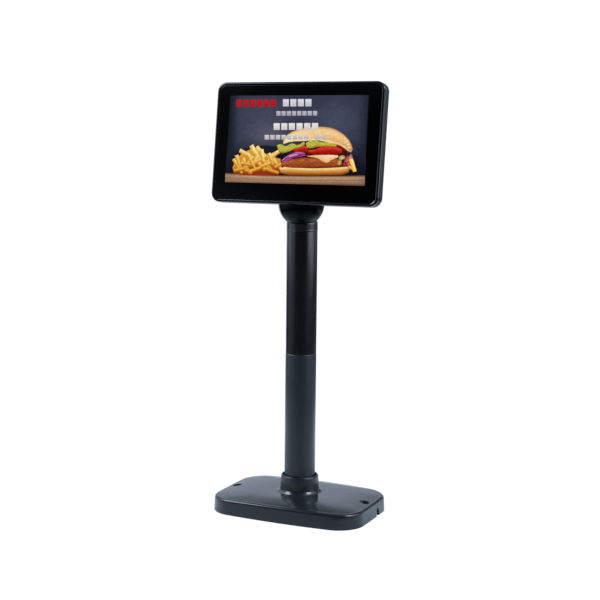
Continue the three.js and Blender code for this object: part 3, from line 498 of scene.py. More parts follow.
# -------------------------------------------------------------------------- pole
J = 166.6
piece("lower_tube_surface", lathe(rounded([(14.45, 12.9), (15.95, 12.9), (15.95, J - 0.7), (15.45, J - 0.15), (14.45, J - 0.15)], [0, 0.2, 0.35, 0.15, 0], 4), 192),
      MAT["lower"], "stand", ["lower_tube"], sharp=38)
piece("upper_tube_surface", lathe(rounded([(14.35, J + 0.15), (15.55, J + 0.15), (15.85, J + 0.5), (15.85, 293.1), (14.35, 293.1)], [0, 0.15, 0.2, 0.35, 0.1], 4), 192),
      MAT["upper"], "stand", ["upper_tube"], sharp=38)


def sphere(r, centre=(0, 0, 0), seg=160, rows=80):
    pts = [(0, -r)] + [(r * math.cos(t), r * math.sin(t)) for t in (math.pi * (i / rows - 0.5) for i in range(1, rows))] + [(0, r)]
    return moved(lathe(pts, seg, closed=False), *centre)


def make_collar():
    prof = rounded([(5.0, 262), (8.1, 262), (8.7, 262.6), (8.7, 264.6), (7.4, 264.6), (7.4, 266.2), (8.7, 266.2), (8.7, 293.4), (16.1, 293.4),
                    (15.95, 294.8), (15.95, 300.8), (15.8, 301.9), (15.4, 302.8), (15.15, 303.6), (15.15, 307), (5.0, 307)],
                   [0] * 8 + [0.35, 0.6, 1.2, 0.8, 0.8, 0.6, 0, 0], 5)
    me = lathe(prof, 192)
    me = boolean(me, sphere(BALL_R + 0.5, PIVOT[:2] + (PIVOT[2],)))
    me = boolean(me, disc("z", 9.9, 294.8, 306, seg=72))
    me = boolean(me, box(-1.3, 1.3, -11.6, -6.5, 287.4, 294.0), "UNION")
    for s in (-1, 1):
        me = boolean(me, disc("z", 1.15, 287.8, 296, s * 6.9, 0, 24))
    return me


piece("swivel_collar_surface", make_collar(), MAT["collar"], "neck", ["swivel_collar"], sharp=38)


# ------------------------------------------------------------------- ball shroud
def make_ball():
    me = join([sphere(BALL_R, seg=176, rows=88)])
    me = boolean(me, sphere(BALL_R - 2.0, seg=96, rows=48))
    slot = [(0.0, 0.0)] + [(32 * math.sin(f), -32 * math.cos(f)) for f in ((-13 + 63.5 * i / 12) * D2R for i in range(13))]
    me = boolean(me, prism(slot, "x", -5.7, 5.7))
    me = boolean(me, box(-10.4, 10.4, -7, 2.1, 9, 30))
    return boolean(me, box(-40, 40, -40, RIM + 0.3 - FACE_DEPTH, -(HZ - FACE_DROP) - 0.05, 40))


ball = make_ball()
rear_half = boolean(ball.copy(), box(-30, 30, 0.15, 30, -30, 30), "INTERSECT")
front_half = boolean(ball, box(-30, 30, -30, -0.15, -30, 30), "INTERSECT")
piece("shroud_front_surface", front_half, MAT["ball"], "head", ["shroud_front"], M_PIVOT, sharp=38)
piece("shroud_rear_surface", rear_half, MAT["ball"], "head", ["shroud_rear"], M_PIVOT, sharp=38)

# -------------------------------------------------------------------------- head
frame_profile = smooth_curve([(2.9, 0.3), (2.2, 0.0), (1.3, 0.1), (0.55, 0.5), (0.12, 1.2), (0, 2.2)], 4)
frame_profile = [(max(a, 0.12 * (2.2 - b) + 0.01 if 1.2 < b < 2.19 else 0), max(b, 0)) for a, b in frame_profile] + [(0, 3.6)] + smooth_curve([(0, 4.9), (0.08, 5.25), (0.35, 5.5)], 3)
frame_profile += [(2.5, 5.5), (2.5, 7.5), (3.6, 7.5), (3.6, 4.2), (9.0, 4.2), (9.0, 2.4), (2.9, 2.4)]
piece("front_frame_surface", skin([head_ring(i, w, 18) for i, w in frame_profile], loop=True),
      MAT["gloss"], "head", ["front_frame"], M_FACE, sharp=38)

glass_rings = [head_ring(3.2, 2.1, 18), head_ring(3.2, 0.95, 18), head_ring(3.28, 0.70, 18), head_ring(3.45, 0.55, 18), head_ring(3.7, 0.5, 18)]
piece("front_glass_surface", skin(glass_rings), MAT["glass"], "head", ["front_glass"], M_FACE, sharp=60, weighted=True)


def plateau(inset, w, per=14):
    return [(u, w, v) for u, v in rounded_rect(62 - inset, -50.5 + inset, 34 - inset, 9 - inset * 0.5, per)]


def between(a, b, t, w):
    return [(p[0] + (q[0] - p[0]) * t, w, p[2] + (q[2] - p[2]) * t) for p, q in zip(a, b)]


COVER_SCREWS = ((-72, 55), (72, 55), (-72, -55.4), (72, -55.4))


def make_rear_cover():
    o3, p0 = head_ring(3.4, RIM), plateau(0, HUMP)
    rim = smooth_curve([(0.45, 6.1), (0.05, 6.6), (0, 7.4), (0, 9.4), (0, 11.2), (0.35, 12.2), (1.1, 12.8), (2.2, 13.0)], 3)
    outer = [head_ring(max(i, 0), min(w, RIM)) for i, w in rim] + [head_ring(2.9, 13.0)]
    outer += [between(o3, p0, t, w) for t, w in ((0.008, 13.08), (0.022, 13.22), (0.045, 13.55), (0.5, 19.55), (0.88, 24.57), (0.92, 25.1), (0.95, 25.47), (0.975, 25.75))]
    outer += [plateau(0.1, 25.93), plateau(0.7, 25.99), plateau(1.2, HUMP)]
    inner = [plateau(2.4, HUMP - SKIN), head_ring(4.6, RIM - SKIN), head_ring(SKIN, RIM - SKIN), head_ring(SKIN, 6.1)]
    cover = skin(outer[::-1] + inner[::-1])
    # the skin is closed from the hump's back to its inner back, round the rim
    for x, z in COVER_SCREWS:
        cover = boolean(cover, disc("y", 4.4, 7.9, 12.7, x, z, 48), "UNION")
        well = lathe([(0, 10.0), (3.3, 10.0), (3.3, 40), (0, 40)], 56, "z", closed=False)
        well.transform(Matrix.Translation((x, 0, z)) @ Matrix.Rotation(-math.pi / 2, 4, "X"))
        cover = boolean(cover, well)
        cover = boolean(cover, disc("y", 1.8, 6, 12, x, z, 32))
    vents = []
    for s in (-1, 1):
        for i in range(6):
            c = s * (18 + 5.5 * i)
            slot = [(c + 1.0 * math.cos(t), 23 + 1.0 * math.sin(t)) for t in (math.pi * j / 8 for j in range(9))]
            slot += [(c + 1.0 * math.cos(t), 7 + 1.0 * math.sin(t)) for t in (math.pi + math.pi * j / 8 for j in range(9))]
            vents.append(prism(slot, "y", 22, 28))
    cover = boolean(cover, join(vents))
    nest = boolean(sphere(BALL_R + 0.5, (0, FACE_DEPTH, -FACE_DROP), 160, 80), box(-40, 40, RIM, 60, -100, 0), "INTERSECT")
    return boolean(cover, nest)


piece("rear_cover_surface", make_rear_cover(), MAT["rear"], "head", ["rear_cover"], M_FACE, sharp=38)

for i, (x, z) in enumerate(COVER_SCREWS, 1):
    s = cross_screw(2.9, 2.0, 1.3, 5.3)
    s.transform(Matrix.Translation((x, 10.3, z)) @ Matrix.Rotation(-math.pi / 2, 4, "X") @ Matrix.Rotation(0.7 * i, 4, "Z"))
    piece(f"cover_screw_{i}_surface", s, MAT["screw"], "head", [f"cover_screw_{i}"], M_FACE, sharp=30)


# ------------------------------------------------------- picture on the screen
# Drawn as thin painted shapes in front of the glass, in a plain drawing grid 1568 wide and 1024 high.
def grid_to_face(cx, cy):
    x = -84.08 + 0.10554 * cx + 0.00711 * cy
    v = 47.7 - (cy - 38.7) * (0.09855 - 3.1e-6 * cx)
    return min(max(x, -WIN_X), WIN_X), min(max(v, WIN_Z0), WIN_Z1)


def linear(c):
    c = np.clip(np.array(c, float) / 255, 0, 1)
    return tuple(np.where(c <= 0.04045, c / 12.92, ((c + 0.055) / 1.055) ** 2.4))


def mix(a, b, t):
    t = min(max(t, 0.0), 1.0)
    return tuple(p + (q - p) * t for p, q in zip(a, b))


def wobble(x, y, s=1.0, seed=0):
    """Smooth repeatable noise from -1 to 1."""
    q = seed * 12.9898
    return (math.sin(x * 0.071 * s + 1.3 + q) * math.cos(y * 0.093 * s - 0.7 + q) + 0.6 * math.sin(x * 0.19 * s + y * 0.13 * s + 2.1 * q)
            + 0.4 * math.cos(x * 0.37 * s - y * 0.41 * s + q)) / 2.0


class Picture:
    def __init__(self):
        self.v, self.f, self.c, self.layer = [], [], [], 0

    def _depth(self):
        self.layer += 1
        return 0.29 - 0.003 * self.layer

    def rows(self, rows, colour):
        """rows of equal length, each a list of drawing points; colour is a function of (x, y, across 0..1, down 0..1)."""
        w, n, base = self._depth(), len(rows[0]), len(self.v)
        for j, r in enumerate(rows):
            for i, (x, y) in enumerate(r):
                fx, fv = grid_to_face(x, y)
                self.v.append((fx, w, fv))
                self.c.append(linear(colour(x, y, i / max(n - 1, 1), j / max(len(rows) - 1, 1))))
        for j in range(len(rows) - 1):
            for i in range(n - 1):
                a = base + j * n + i
                self.f.append((a, a + n, a + n + 1, a + 1))

    def strip(self, top, bottom, colour, rows=6, n=40):
        """Between two polylines."""
        def sample(line, t):
            s = t * (len(line) - 1)
            i = min(int(s), len(line) - 2)
            u = s - i
            return (line[i][0] + (line[i + 1][0] - line[i][0]) * u, line[i][1] + (line[i + 1][1] - line[i][1]) * u)
        top, bottom = smooth_curve(top, 6), smooth_curve(bottom, 6)
        grid = []
        for j in range(rows + 1):
            t = j / rows
            grid.append([tuple(np.array(sample(top, i / n)) * (1 - t) + np.array(sample(bottom, i / n)) * t) for i in range(n + 1)])
        self.rows(grid, colour)

    def blob(self, cx, cy, rx, ry, colour, turn=0.0, n=16, rings=2):
        ca, sa = math.cos(turn), math.sin(turn)
        grid = []
        for j in range(rings + 1):
            r = 1 - j / rings
            grid.append([(cx + (rx * r * math.cos(t) * ca - ry * r * math.sin(t) * sa), cy + (rx * r * math.cos(t) * sa + ry * r * math.sin(t) * ca))
                         for t in (2 * math.pi * i / n for i in range(n + 1))])
        self.rows(grid, colour)

    def bar(self, x0, y0, x1, y1, w, colour, taper=0.9):
        """A straight bar, lit along one side."""
        d = np.array((x1 - x0, y1 - y0), float)
        L = np.linalg.norm(d)
        u = d / L
        p = np.array((-u[1], u[0]))
        grid = []
        for j in range(4):
            o = (j / 3 - 0.5) * w
            grid.append([tuple(np.array((x0, y0)) + u * (L * t) + p * o * (1 if t < 0.5 else taper)) for t in (0, 0.08, 0.35, 0.65, 0.92, 1)])
        self.rows(grid, colour)


def draw_menu():
    P = Picture()
    # backdrop: slate blue, darker to the sides and under the plate
    cols, rws = 72, 40

    def back(x, y, a, b):
        c = mix((46, 48, 68), (66, 72, 92), math.exp(-((a - 0.78) / 0.20) ** 2 - ((b - 0.30) / 0.28) ** 2))
        c = mix(c, (92, 92, 108), 0.85 * math.exp(-((a - 0.30) / 0.16) ** 2 - ((b - 0.42) / 0.20) ** 2))
        c = mix(c, (66, 68, 88), 0.8 * math.exp(-((a - 0.25) / 0.22) ** 2 - ((b - 0.18) / 0.20) ** 2))
        c = mix(c, (14, 18, 30), max(0, b - 0.5) * 2.2)
        c = mix(c, (14, 19, 25), max(0, 0.085 - a) * 13)
        c = mix(c, (26, 30, 40), max(0, a - 0.93) * 10)
        n = 3.0 * wobble(x, y, 0.35) + 2.0 * wobble(x, y, 2.4, 1)
        return (c[0] + n * 0.8, c[1] + n * 0.8, c[2] + n)
    P.rows([[(40 + (1506 - 40) * i / cols - 46 * j / rws, 38 + 912 * j / rws) for i in range(cols + 1)] for j in range(rws + 1)], back)
    # shade under the food
    P.strip([(20, 640), (180, 600), (420, 560), (760, 600), (1200, 620), (1480, 700)], [(10, 880), (400, 885), (800, 890), (1100, 895), (1300, 895), (1470, 900)],
            lambda x, y, a, b: mix((30, 28, 48), (8, 5, 10), min(1, b * 1.6) * (1 - abs(a - 0.45) * 0.9)), 6, 40)
    # wooden board
    def wood(x, y, a, b):
        g = math.sin(y * 0.33 + 1.4 * wobble(x, y, 0.25, 3)) + 0.8 * math.sin(y * 0.71 + x * 0.006 + 2 * wobble(x * 0.3, y, 0.6, 5))
        c = mix((132, 96, 70), (180, 142, 112), 0.5 + 0.34 * g)
        c = mix(c, (200, 166, 140), 0.60 * math.exp(-((b - 0.26) / 0.11) ** 2))
        c = mix(c, (60, 26, 10), max(0, 1 - b / 0.14) * 0.75)
        c = mix(c, (84, 58, 46), max(0, (b - 0.70) / 0.30) * 0.80)
        return mix(c, (96, 74, 70), max(0, 0.16 - a) * 1.4 + max(0, a - 0.9) * 3.0)
    P.strip([(8, 846), (400, 866), (800, 876), (1200, 878), (1465, 876)], [(5, 955), (400, 962), (800, 970), (1200, 976), (1462, 986)], wood, 22, 90)
    # fries: a warm heap, then single sticks
    P.strip([(88, 790), (130, 700), (200, 640), (300, 600), (430, 640), (520, 680), (600, 700)], [(100, 850), (200, 866), (300, 870), (400, 872), (500, 868), (560, 862), (620, 850)],
            lambda x, y, a, b: mix(mix((216, 150, 42), (140, 44, 8), min(1, b * 1.2)), (240, 186, 70), (0.30 + 0.35 * wobble(x, y, 1.2, 7)) * (1 - b)), 8, 44)
    sticks = [(96, 700, 190, 850, 30), (130, 660, 170, 790, 34), (165, 610, 330, 700, 36), (290, 560, 370, 690, 40), (345, 575, 440, 680, 40), (400, 600, 420, 740, 36),
              (470, 690, 610, 610, 36), (450, 750, 560, 640, 34), (200, 690, 260, 840, 38), (300, 670, 200, 800, 34), (330, 700, 440, 820, 38), (240, 780, 400, 700, 34),
              (420, 720, 520, 840, 36), (520, 700, 600, 800, 34), (130, 780, 300, 850, 34), (280, 830, 420, 780, 32), (440, 800, 580, 850, 34), (180, 740, 330, 770, 30),
              (360, 650, 300, 760, 30), (480, 640, 520, 760, 30), (390, 780, 500, 740, 28), (108, 820, 220, 800, 28), (540, 790, 640, 740, 30), (250, 640, 330, 800, 26)]
    for i, (x0, y0, x1, y1, w) in enumerate(sticks):
        def stick(x, y, a, b, i=i, y0=min(y0, y1)):
            low = min(max((y - 610) / 230, 0), 1)
            lit = mix((255, 242, 160), (248, 184, 48), low)
            dark = mix((214, 160, 56), (146, 56, 8), low)
            c = mix(lit, dark, abs(b - 0.3) * 1.25 + 0.16 * ((i * 7) % 5) / 4)
            return mix(c, (255, 246, 196), 0.35 if (a < 0.1 and i % 2) else 0)
        P.bar(x0, y0, x1, y1, w * 1.2, stick)
    # bun base
    def bun_low(x, y, a, b):
        c = mix((250, 204, 122), (176, 98, 26), b * 1.2)
        c = mix(c, (255, 240, 190), 0.75 * math.exp(-((b - 0.16) / 0.12) ** 2) * (0.6 + 0.4 * wobble(x, y, 0.4, 2)))
        return mix(c, (112, 46, 8), max(0, b - 0.66) * 2.2 + max(0, 0.05 - a) * 8 + max(0, a - 0.95) * 8)
    P.strip([(588, 800), (640, 786), (760, 792), (900, 800), (1080, 798), (1220, 790), (1316, 782)], [(600, 850), (680, 868), (800, 872), (950, 874), (1100, 872), (1240, 868), (1306, 846)], bun_low, 10, 56)
    # patty
    def meat(x, y, a, b):
        n = wobble(x, y, 1.6, 4) + 0.6 * wobble(x, y, 4.0, 6)
        c = mix((196, 100, 46), (104, 36, 14), 0.5 + 0.46 * n)
        c = mix(c, (60, 20, 10), max(0, b - 0.78) * 3.2)
        return mix(c, (224, 138, 76), 0.55 * math.exp(-((b - 0.3) / 0.16) ** 2) * (0.5 + 0.5 * wobble(x, y, 0.8, 9)))
    P.strip([(606, 742), (660, 716), (760, 700), (880, 684), (1000, 690), (1110, 700), (1236, 704)], [(616, 780), (700, 792), (800, 796), (920, 798), (1040, 796), (1150, 790), (1232, 784)], meat, 10, 64)
    # dark gap and tomato
    P.strip([(690, 640), (800, 560), (900, 560), (1020, 572), (1140, 576), (1290, 590)], [(700, 690), (800, 690), (900, 690), (1000, 680), (1150, 682), (1290, 690)],
            lambda x, y, a, b: mix((96, 12, 8), (48, 10, 8), b), 4, 30)
    def tomato(x, y, a, b):
        c = mix((212, 34, 18), (120, 12, 4), b + 0.35 * wobble(x, y, 1.2, 8))
        return mix(c, (246, 120, 84), 0.65 * math.exp(-((b - 0.2) / 0.14) ** 2) * (0.5 + 0.5 * wobble(x, y, 0.7, 3)))
    P.strip([(742, 610), (780, 580), (830, 566), (884, 572)], [(746, 640), (800, 644), (850, 640), (886, 634)], tomato, 6, 20)
    P.strip([(884, 612), (960, 604), (1040, 576), (1120, 572), (1190, 580), (1240, 606)], [(892, 648), (960, 660), (1040, 668), (1120, 664), (1180, 664), (1232, 650)], tomato, 7, 36)
    # onion
    def onion(x, y, a, b):
        s = math.sin(b * 9 + a * 6)
        return mix(mix((116, 26, 96), (176, 84, 160), 0.5 + 0.5 * s), (226, 180, 216), 0.6 * math.exp(-((b - 0.15) / 0.12) ** 2))
    P.strip([(612, 716), (664, 676), (720, 648), (780, 628), (850, 640)], [(632, 738), (690, 716), (750, 690), (810, 678), (868, 664)], onion, 9, 30)
    P.strip([(690, 672), (730, 660), (780, 652)], [(696, 690), (740, 680), (784, 668)], lambda x, y, a, b: mix((236, 206, 226), (150, 60, 130), b * 1.3), 4, 12)
    # cheese slice
    def cheese(x, y, a, b):
        return mix(mix(mix((226, 186, 140), (252, 232, 190), min(1, a * 1.3)), (226, 176, 116), b * 0.9), (200, 140, 74), max(0, b - 0.9) * 5)
    P.strip([(876, 672), (960, 664), (1060, 662), (1130, 662), (1196, 668)], [(884, 676), (980, 694), (1082, 744), (1130, 716), (1200, 686)], cheese, 7, 36)
    # pink and pale trimmings at the right
    for cx, cy, rx, ry, tn, col in ((1290, 720, 30, 54, 0.35, (214, 92, 96)), (1322, 700, 20, 46, 0.2, (232, 150, 140)), (1262, 760, 22, 26, 0.2, (176, 44, 52)),
                                   (1236, 690, 34, 24, -0.3, (236, 206, 130)), (1210, 740, 22, 30, 0.4, (226, 178, 84)), (1306, 756, 24, 26, 0, (206, 108, 84))):
        P.blob(cx, cy, rx, ry, lambda x, y, a, b, col=col: mix(tuple(c * 0.62 for c in col), tuple(min(255, c * 1.12) for c in col), b * 0.9 + 0.3 * wobble(x, y, 2, 4)), tn, 18, 3)
    P.bar(1326, 706, 1366, 836, 42, lambda x, y, a, b: mix((255, 232, 150), (226, 160, 48), abs(b - 0.3) + 0.2 * a))
    P.bar(1300, 780, 1352, 818, 26, lambda x, y, a, b: mix((246, 206, 96), (210, 130, 30), b))
    # lettuce
    def leaf(x, y, a, b):
        n = wobble(x, y, 2.0, 5)
        c = mix((222, 226, 88), (126, 128, 26), 0.5 + 0.5 * n)
        c = mix(c, (120, 62, 16), max(0, b - 0.72) * 2.2)
        return mix(c, (246, 240, 150), 0.7 * max(0, wobble(x, y, 1.1, 11)) * (1 - b))
    wavy = [(566 + 26 * i, 560 - 12 * math.sin(i * 1.3) - 0.6 * i * i / 3) for i in range(12)]
    P.strip(wavy, [(586, 636), (640, 640), (700, 622), (760, 596), (820, 576), (856, 556)], leaf, 8, 44)
    P.strip([(868, 540), (930, 500), (960, 478), (1000, 520), (1060, 530), (1130, 540), (1212, 560)], [(884, 590), (930, 592), (980, 580), (1040, 574), (1100, 572), (1160, 574), (1216, 572)], leaf, 7, 44)
    P.strip([(1180, 556), (1230, 552), (1290, 580), (1318, 600)], [(1190, 584), (1240, 600), (1280, 618), (1312, 622)], lambda x, y, a, b: mix((150, 40, 22), (96, 24, 14), b), 4, 16)
    # bun top: a dome lit from the upper right, with seeds
    top = [(632, 530), (644, 486), (690, 440), (760, 404), (860, 378), (960, 368), (1060, 370), (1150, 388), (1230, 430), (1290, 484), (1330, 548), (1346, 606)]
    bot = [(634, 546), (690, 528), (760, 518), (840, 516), (910, 512), (980, 506), (1050, 522), (1130, 540), (1200, 556), (1260, 590), (1300, 624), (1330, 636)]
    def bun(x, y, a, b):
        c = mix((236, 196, 132), (206, 146, 78), max(0, a - 0.05) * 0.7 + 0.2 * wobble(x, y, 0.7, 2))
        c = mix(c, (255, 238, 196), 0.85 * math.exp(-(((b - 0.55) / 0.34) ** 2 + ((a - 0.16) / 0.22) ** 2)))
        c = mix(c, (250, 216, 160), 0.6 * math.exp(-(((b - 0.3) / 0.25) ** 2 + ((a - 0.6) / 0.3) ** 2)))
        c = mix(c, (150, 88, 44), max(0, 0.14 - b) * 3.4)
        c = mix(c, (255, 240, 206), 0.6 * math.exp(-((b - 0.93) / 0.06) ** 2))
        return mix(c, (176, 100, 52), max(0, a - 0.86) * 3.6)
    P.strip(top, bot, bun, 16, 72)
    rnd = np.random.RandomState(7)
    for i in range(64):
        a = 0.05 + 0.88 * ((i * 0.61803) % 1.0)
        b = 0.10 + 0.62 * rnd.rand()
        k = a * (len(top) - 1)
        j = min(int(k), len(top) - 2)
        tx, ty = np.array(top[j]) + (np.array(top[j + 1]) - np.array(top[j])) * (k - j)
        bx, by = np.array(bot[j]) + (np.array(bot[j + 1]) - np.array(bot[j])) * (k - j)
        x, y = tx + (bx - tx) * b, ty + (by - ty) * b
        P.blob(x, y, 9.5, 5.2, lambda x, y, a, b: mix((232, 204, 150), (255, 244, 214), b), rnd.rand() * 3.1, 10, 2)
    # plain blocks where a caption would be: no letters
    def blocks(x0, x1, y0, y1, n, col, skip=()):
        step = (x1 - x0) / n
        for i in range(n):
            if i in skip:
                continue
            a0, a1 = x0 + i * step + step * 0.10, x0 + (i + 1) * step - step * 0.10
            P.rows([[(a0, y0), (a1, y0)], [(a0, y0 * 0.5 + y1 * 0.5), (a1, y0 * 0.5 + y1 * 0.5)], [(a0, y1), (a1, y1)]],
                   lambda x, y, a, b: mix(col, tuple(c * 0.86 for c in col), b))
    blocks(124, 568, 84, 158, 6, (190, 22, 34))
    blocks(622, 936, 80, 156, 4, (222, 222, 228))
    blocks(556, 992, 204, 252, 8, (186, 186, 196))
    blocks(524, 1004, 330, 400, 6, (234, 232, 230))
    blocks(430, 1080, 452, 500, 11, (212, 204, 206), skip=(8,))
    # the carrier sheet the picture is printed on
    w0, base = 0.40, len(P.v)
    outline = [(-WIN_X, WIN_Z0), (WIN_X, WIN_Z0), (WIN_X, WIN_Z1), (-WIN_X, WIN_Z1)]
    for w in (0.30, 0.45):
        for x, v in outline:
            P.v.append((x, w, v))
            P.c.append(linear((3, 3, 5)))
    P.f += [(base, base + 1, base + 2, base + 3), (base + 7, base + 6, base + 5, base + 4)]
    P.f += [(base + i, base + 4 + i, base + 4 + (i + 1) % 4, base + (i + 1) % 4) for i in range(4)]
    me = bpy.data.meshes.new("screen_picture")
    me.from_pydata([tuple(map(float, p)) for p in P.v], [], P.f)
    me.transform(Matrix.Scale(0.001, 4) @ M_FACE)
    at = me.color_attributes.new("paint", "FLOAT_COLOR", "POINT")
    flat = np.ones((len(P.v), 4), np.float32)
    flat[:, :3] = np.array(P.c, np.float32)
    at.data.foreach_set("color", flat.ravel())
    me.update()
    # every face looks out of the screen (toward -Y in the head)
    out_dir = M_FACE.to_3x3() @ Vector((0, -1, 0))
    bm = bmesh.new()
    bm.from_mesh(me)
    bm.faces.ensure_lookup_table()
    n_sheet = 6
    for f in bm.faces[:len(bm.faces) - n_sheet]:
        f.normal_update()
        if f.normal.dot(out_dir) < 0:
            f.normal_flip()
    bm.to_mesh(me)
    bm.free()
    return me


def picture_material():
    m = bpy.data.materials.new("screen_picture")
    m.use_nodes = True
    m.diffuse_color = (0.3, 0.25, 0.2, 1)
    N = Nodes(m.node_tree)
    for n in list(m.node_tree.nodes):
        m.node_tree.nodes.remove(n)
    out, p = N.new("ShaderNodeOutputMaterial"), N.new("ShaderNodeBsdfPrincipled")
    N.link(p.outputs["BSDF"], out.inputs["Surface"])
    col = N.new("ShaderNodeVertexColor", layer_name="paint")
    tc = N.new("ShaderNodeTexCoord")
    n1 = N.new("ShaderNodeTexNoise")
    n1.inputs["Scale"].default_value = 420
    n1.inputs["Detail"].default_value = 3
    N.link(tc.outputs["Object"], n1.inputs["Vector"])
    mr = N.new("ShaderNodeMapRange")
    mr.inputs["From Min"].default_value, mr.inputs["From Max"].default_value = 0.3, 0.7
    mr.inputs["To Min"].default_value, mr.inputs["To Max"].default_value = 0.90, 1.10
    N.link(n1.outputs["Fac"], mr.inputs["Value"])
    mul = N.new("ShaderNodeVectorMath", operation="SCALE")
    N.link(col.outputs["Color"], mul.inputs[0])
    N.link(mr.outputs["Result"], mul.inputs["Scale"])
    N.link(mul.outputs["Vector"], p.inputs["Emission Color"])
    p.inputs["Emission Strength"].default_value = 1.0
    p.inputs["Base Color"].default_value = (0.002, 0.002, 0.0025, 1)
    p.inputs["Roughness"].default_value = 0.06
    return m


picture = bpy.data.objects.new("screen_picture", draw_menu())
bpy.context.scene.collection.objects.link(picture)
picture.data.materials.append(picture_material())
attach(picture, "head")

# ------------------------------------------- finishes of the carried CAD nodes
CARRIED = {
    "base_plate": "steel", "io_socket": "plated", "cable_grommet": "rubber", "tube_joiner": "inner", "swivel_bush": "acetal", "pole_cable": "jacket",
    "wave_washer": "spring", "retaining_clip": "spring", "hinge_post": "hinge", "hinge_screw_1": "screw", "hinge_screw_2": "screw",
    "hinge_bracket": "hinge", "hinge_pin_left": "spring", "hinge_pin_right": "spring", "friction_washer_left": "acetal", "friction_washer_right": "acetal",
    "head_cable": "jacket", "panel_gasket": "foam", "lcd_panel": "lcd", "panel_chassis": "chassis", "driver_board": "board", "cable_connector": "acetal", "lcd_ribbon": "flex",
}
for stem in ("chassis_screw", "bracket_screw", "board_screw"):
    for i in range(1, 5):
        CARRIED[f"{stem}_{i}"] = "screw"
for name, ob in NODES.items():
    if ob.hide_render:
        continue
    ob.data.materials.clear()
    ob.data.materials.append(MAT[CARRIED[name]])
    ob.data.polygons.foreach_set("use_smooth", [True] * len(ob.data.polygons))
    ob.data.set_sharp_from_angle(angle=38 * D2R)

# ------------------------------------------------------------ stage and lights
scene = bpy.context.scene
scene.view_settings.view_transform = "Standard"
scene.view_settings.look = "None"
scene.view_settings.exposure = 0
scene.view_settings.gamma = 1
world = bpy.data.worlds.new("studio")
scene.world = world
world.use_nodes = True
wn = world.node_tree
for n in list(wn.nodes):
    wn.nodes.remove(n)
bg, wo = wn.nodes.new("ShaderNodeBackground"), wn.nodes.new("ShaderNodeOutputWorld")
wn.links.new(bg.outputs["Background"], wo.inputs["Surface"])
bg.inputs["Color"].default_value = (1, 1, 1, 1)
bg.inputs["Strength"].default_value = 1.02
world.cycles_visibility.glossy = False
world.cycles_visibility.diffuse = False


def glow(name, strength, color=(1, 1, 1)):
    m = bpy.data.materials.new(name)
    m.use_nodes = True
    for n in list(m.node_tree.nodes):
        m.node_tree.nodes.remove(n)
    out, e = m.node_tree.nodes.new("ShaderNodeOutputMaterial"), m.node_tree.nodes.new("ShaderNodeEmission")
    m.node_tree.links.new(e.outputs["Emission"], out.inputs["Surface"])
    e.inputs["Strength"].default_value = strength
    e.inputs["Color"].default_value = (*color, 1)
    return m


# The studio round the object: light strength by direction, each row one band of height (degrees), columns evenly
# spaced in azimuth from the back round by the left, the front and the right.
BANDS = (  # lowest and highest elevation of the band, then its strengths from the back round by the left
    (-50, -15, (1.00, 0.80, 0.00, 0.00, 0.00, 0.00, 0.00, 0.00, 0.00, 0.02, 0.90, 1.00)),
    (-15, 0, (0.34, 1.15, 0.00, 0.38, 0.33, 0.09, 0.06, 0.09, 0.23, 0.11, 0.08, 0.10)),
    (0, 12, (0.75, 0.76, 0.68, 1.47, 0.80, 0.03, 0.06, 0.04, 0.33, 2.31, 0.60, 0.28)),
    (12, 24, (0.6, 1.0, 0.9, 0.0, 1.6, 1.4, 1.2, 0.8, 1.6, 0.1, 0.0, 0.0, 0.0, 0.0, 0.0, 0.0, 0.9, 1.6, 2.2, 1.8, 0.5, 0.1, 0.7, 0.0)),
    (24, 37, (0.0, 0.4, 0.8, 0.0, 0.8, 2.5, 3.1, 2.6, 3.1, 2.9, 0.3, 0.0, 0.1, 0.1, 0.1, 0.3, 1.3, 1.7, 2.1, 2.2, 1.4, 0.6, 0.0, 0.0)),
    (37, 52, (0.7, 0.0, 0.0, 0.8, 1.4, 1.8, 2.6, 2.7, 3.1, 1.1, 0.0, 0.0, 0.1, 0.1, 0.1, 0.4, 1.3, 2.0, 2.4, 2.5, 1.3, 0.5, 0.3, 0.2)),
    (52, 72, (0.0, 0.0, 0.0, 0.0, 0.1, 0.4, 0.7, 0.4, 0.0, 0.0, 0.0, 0.1, 0.0, 0.1, 0.2, 0.3, 1.0, 1.6, 1.9, 1.5, 0.8, 0.5, 0.6, 0.3)),
)
ZENITH, NADIR = 0.1, 0.0
LOW_TINT, HIGH_TINT, COUNTER_TINT = (0.85, 0.97, 1.18), (0.84, 1.06, 1.10), (0.83, 1.01, 1.16)
# The lit counter: distance from the pole in metres, then its strengths in eight directions in the same order.
COUNTER = (
    (0.075, (0.56, 0.63, 0.90, 0.70, 0.64, 0.67, 0.78, 0.51)),
    (0.145, (0.57, 0.68, 1.20, 0.64, 0.39, 0.79, 1.19, 0.38)),
    (0.215, (0.65, 0.55, 1.00, 0.75, 0.59, 0.75, 1.00, 1.60)),
    (0.340, (1.50, 1.30, 0.80, 0.61, 0.10, 0.30, 0.55, 1.50)),
    (0.560, (0.90, 0.70, 0.28, 0.05, 0.08, 0.11, 0.10, 0.60)),
)


def ramp(x, edge, soft):
    """0 below the edge, 1 above it, with a soft step between."""
    t = min(max((x - edge) / soft + 0.5, 0), 1)
    return t * t * (3 - 2 * t)


def sky(az, el):
    """Strength of the studio light that comes from one direction."""
    value = NADIR
    for lo_el, hi_el, row in BANDS + ((72, 91, (ZENITH,) * 12),):
        n = len(row)
        k = ((az + 180) % 360) * n / 360
        i = int(k) % n
        f = k - int(k)
        here = row[i]
        if f < 0.5:
            here = row[i - 1] + (here - row[i - 1]) * ramp(f, 0, 0.4)
        else:
            here = here + (row[(i + 1) % n] - here) * ramp(f, 1, 0.4)
        value += (here - value) * ramp(el, lo_el, 6)
    return value


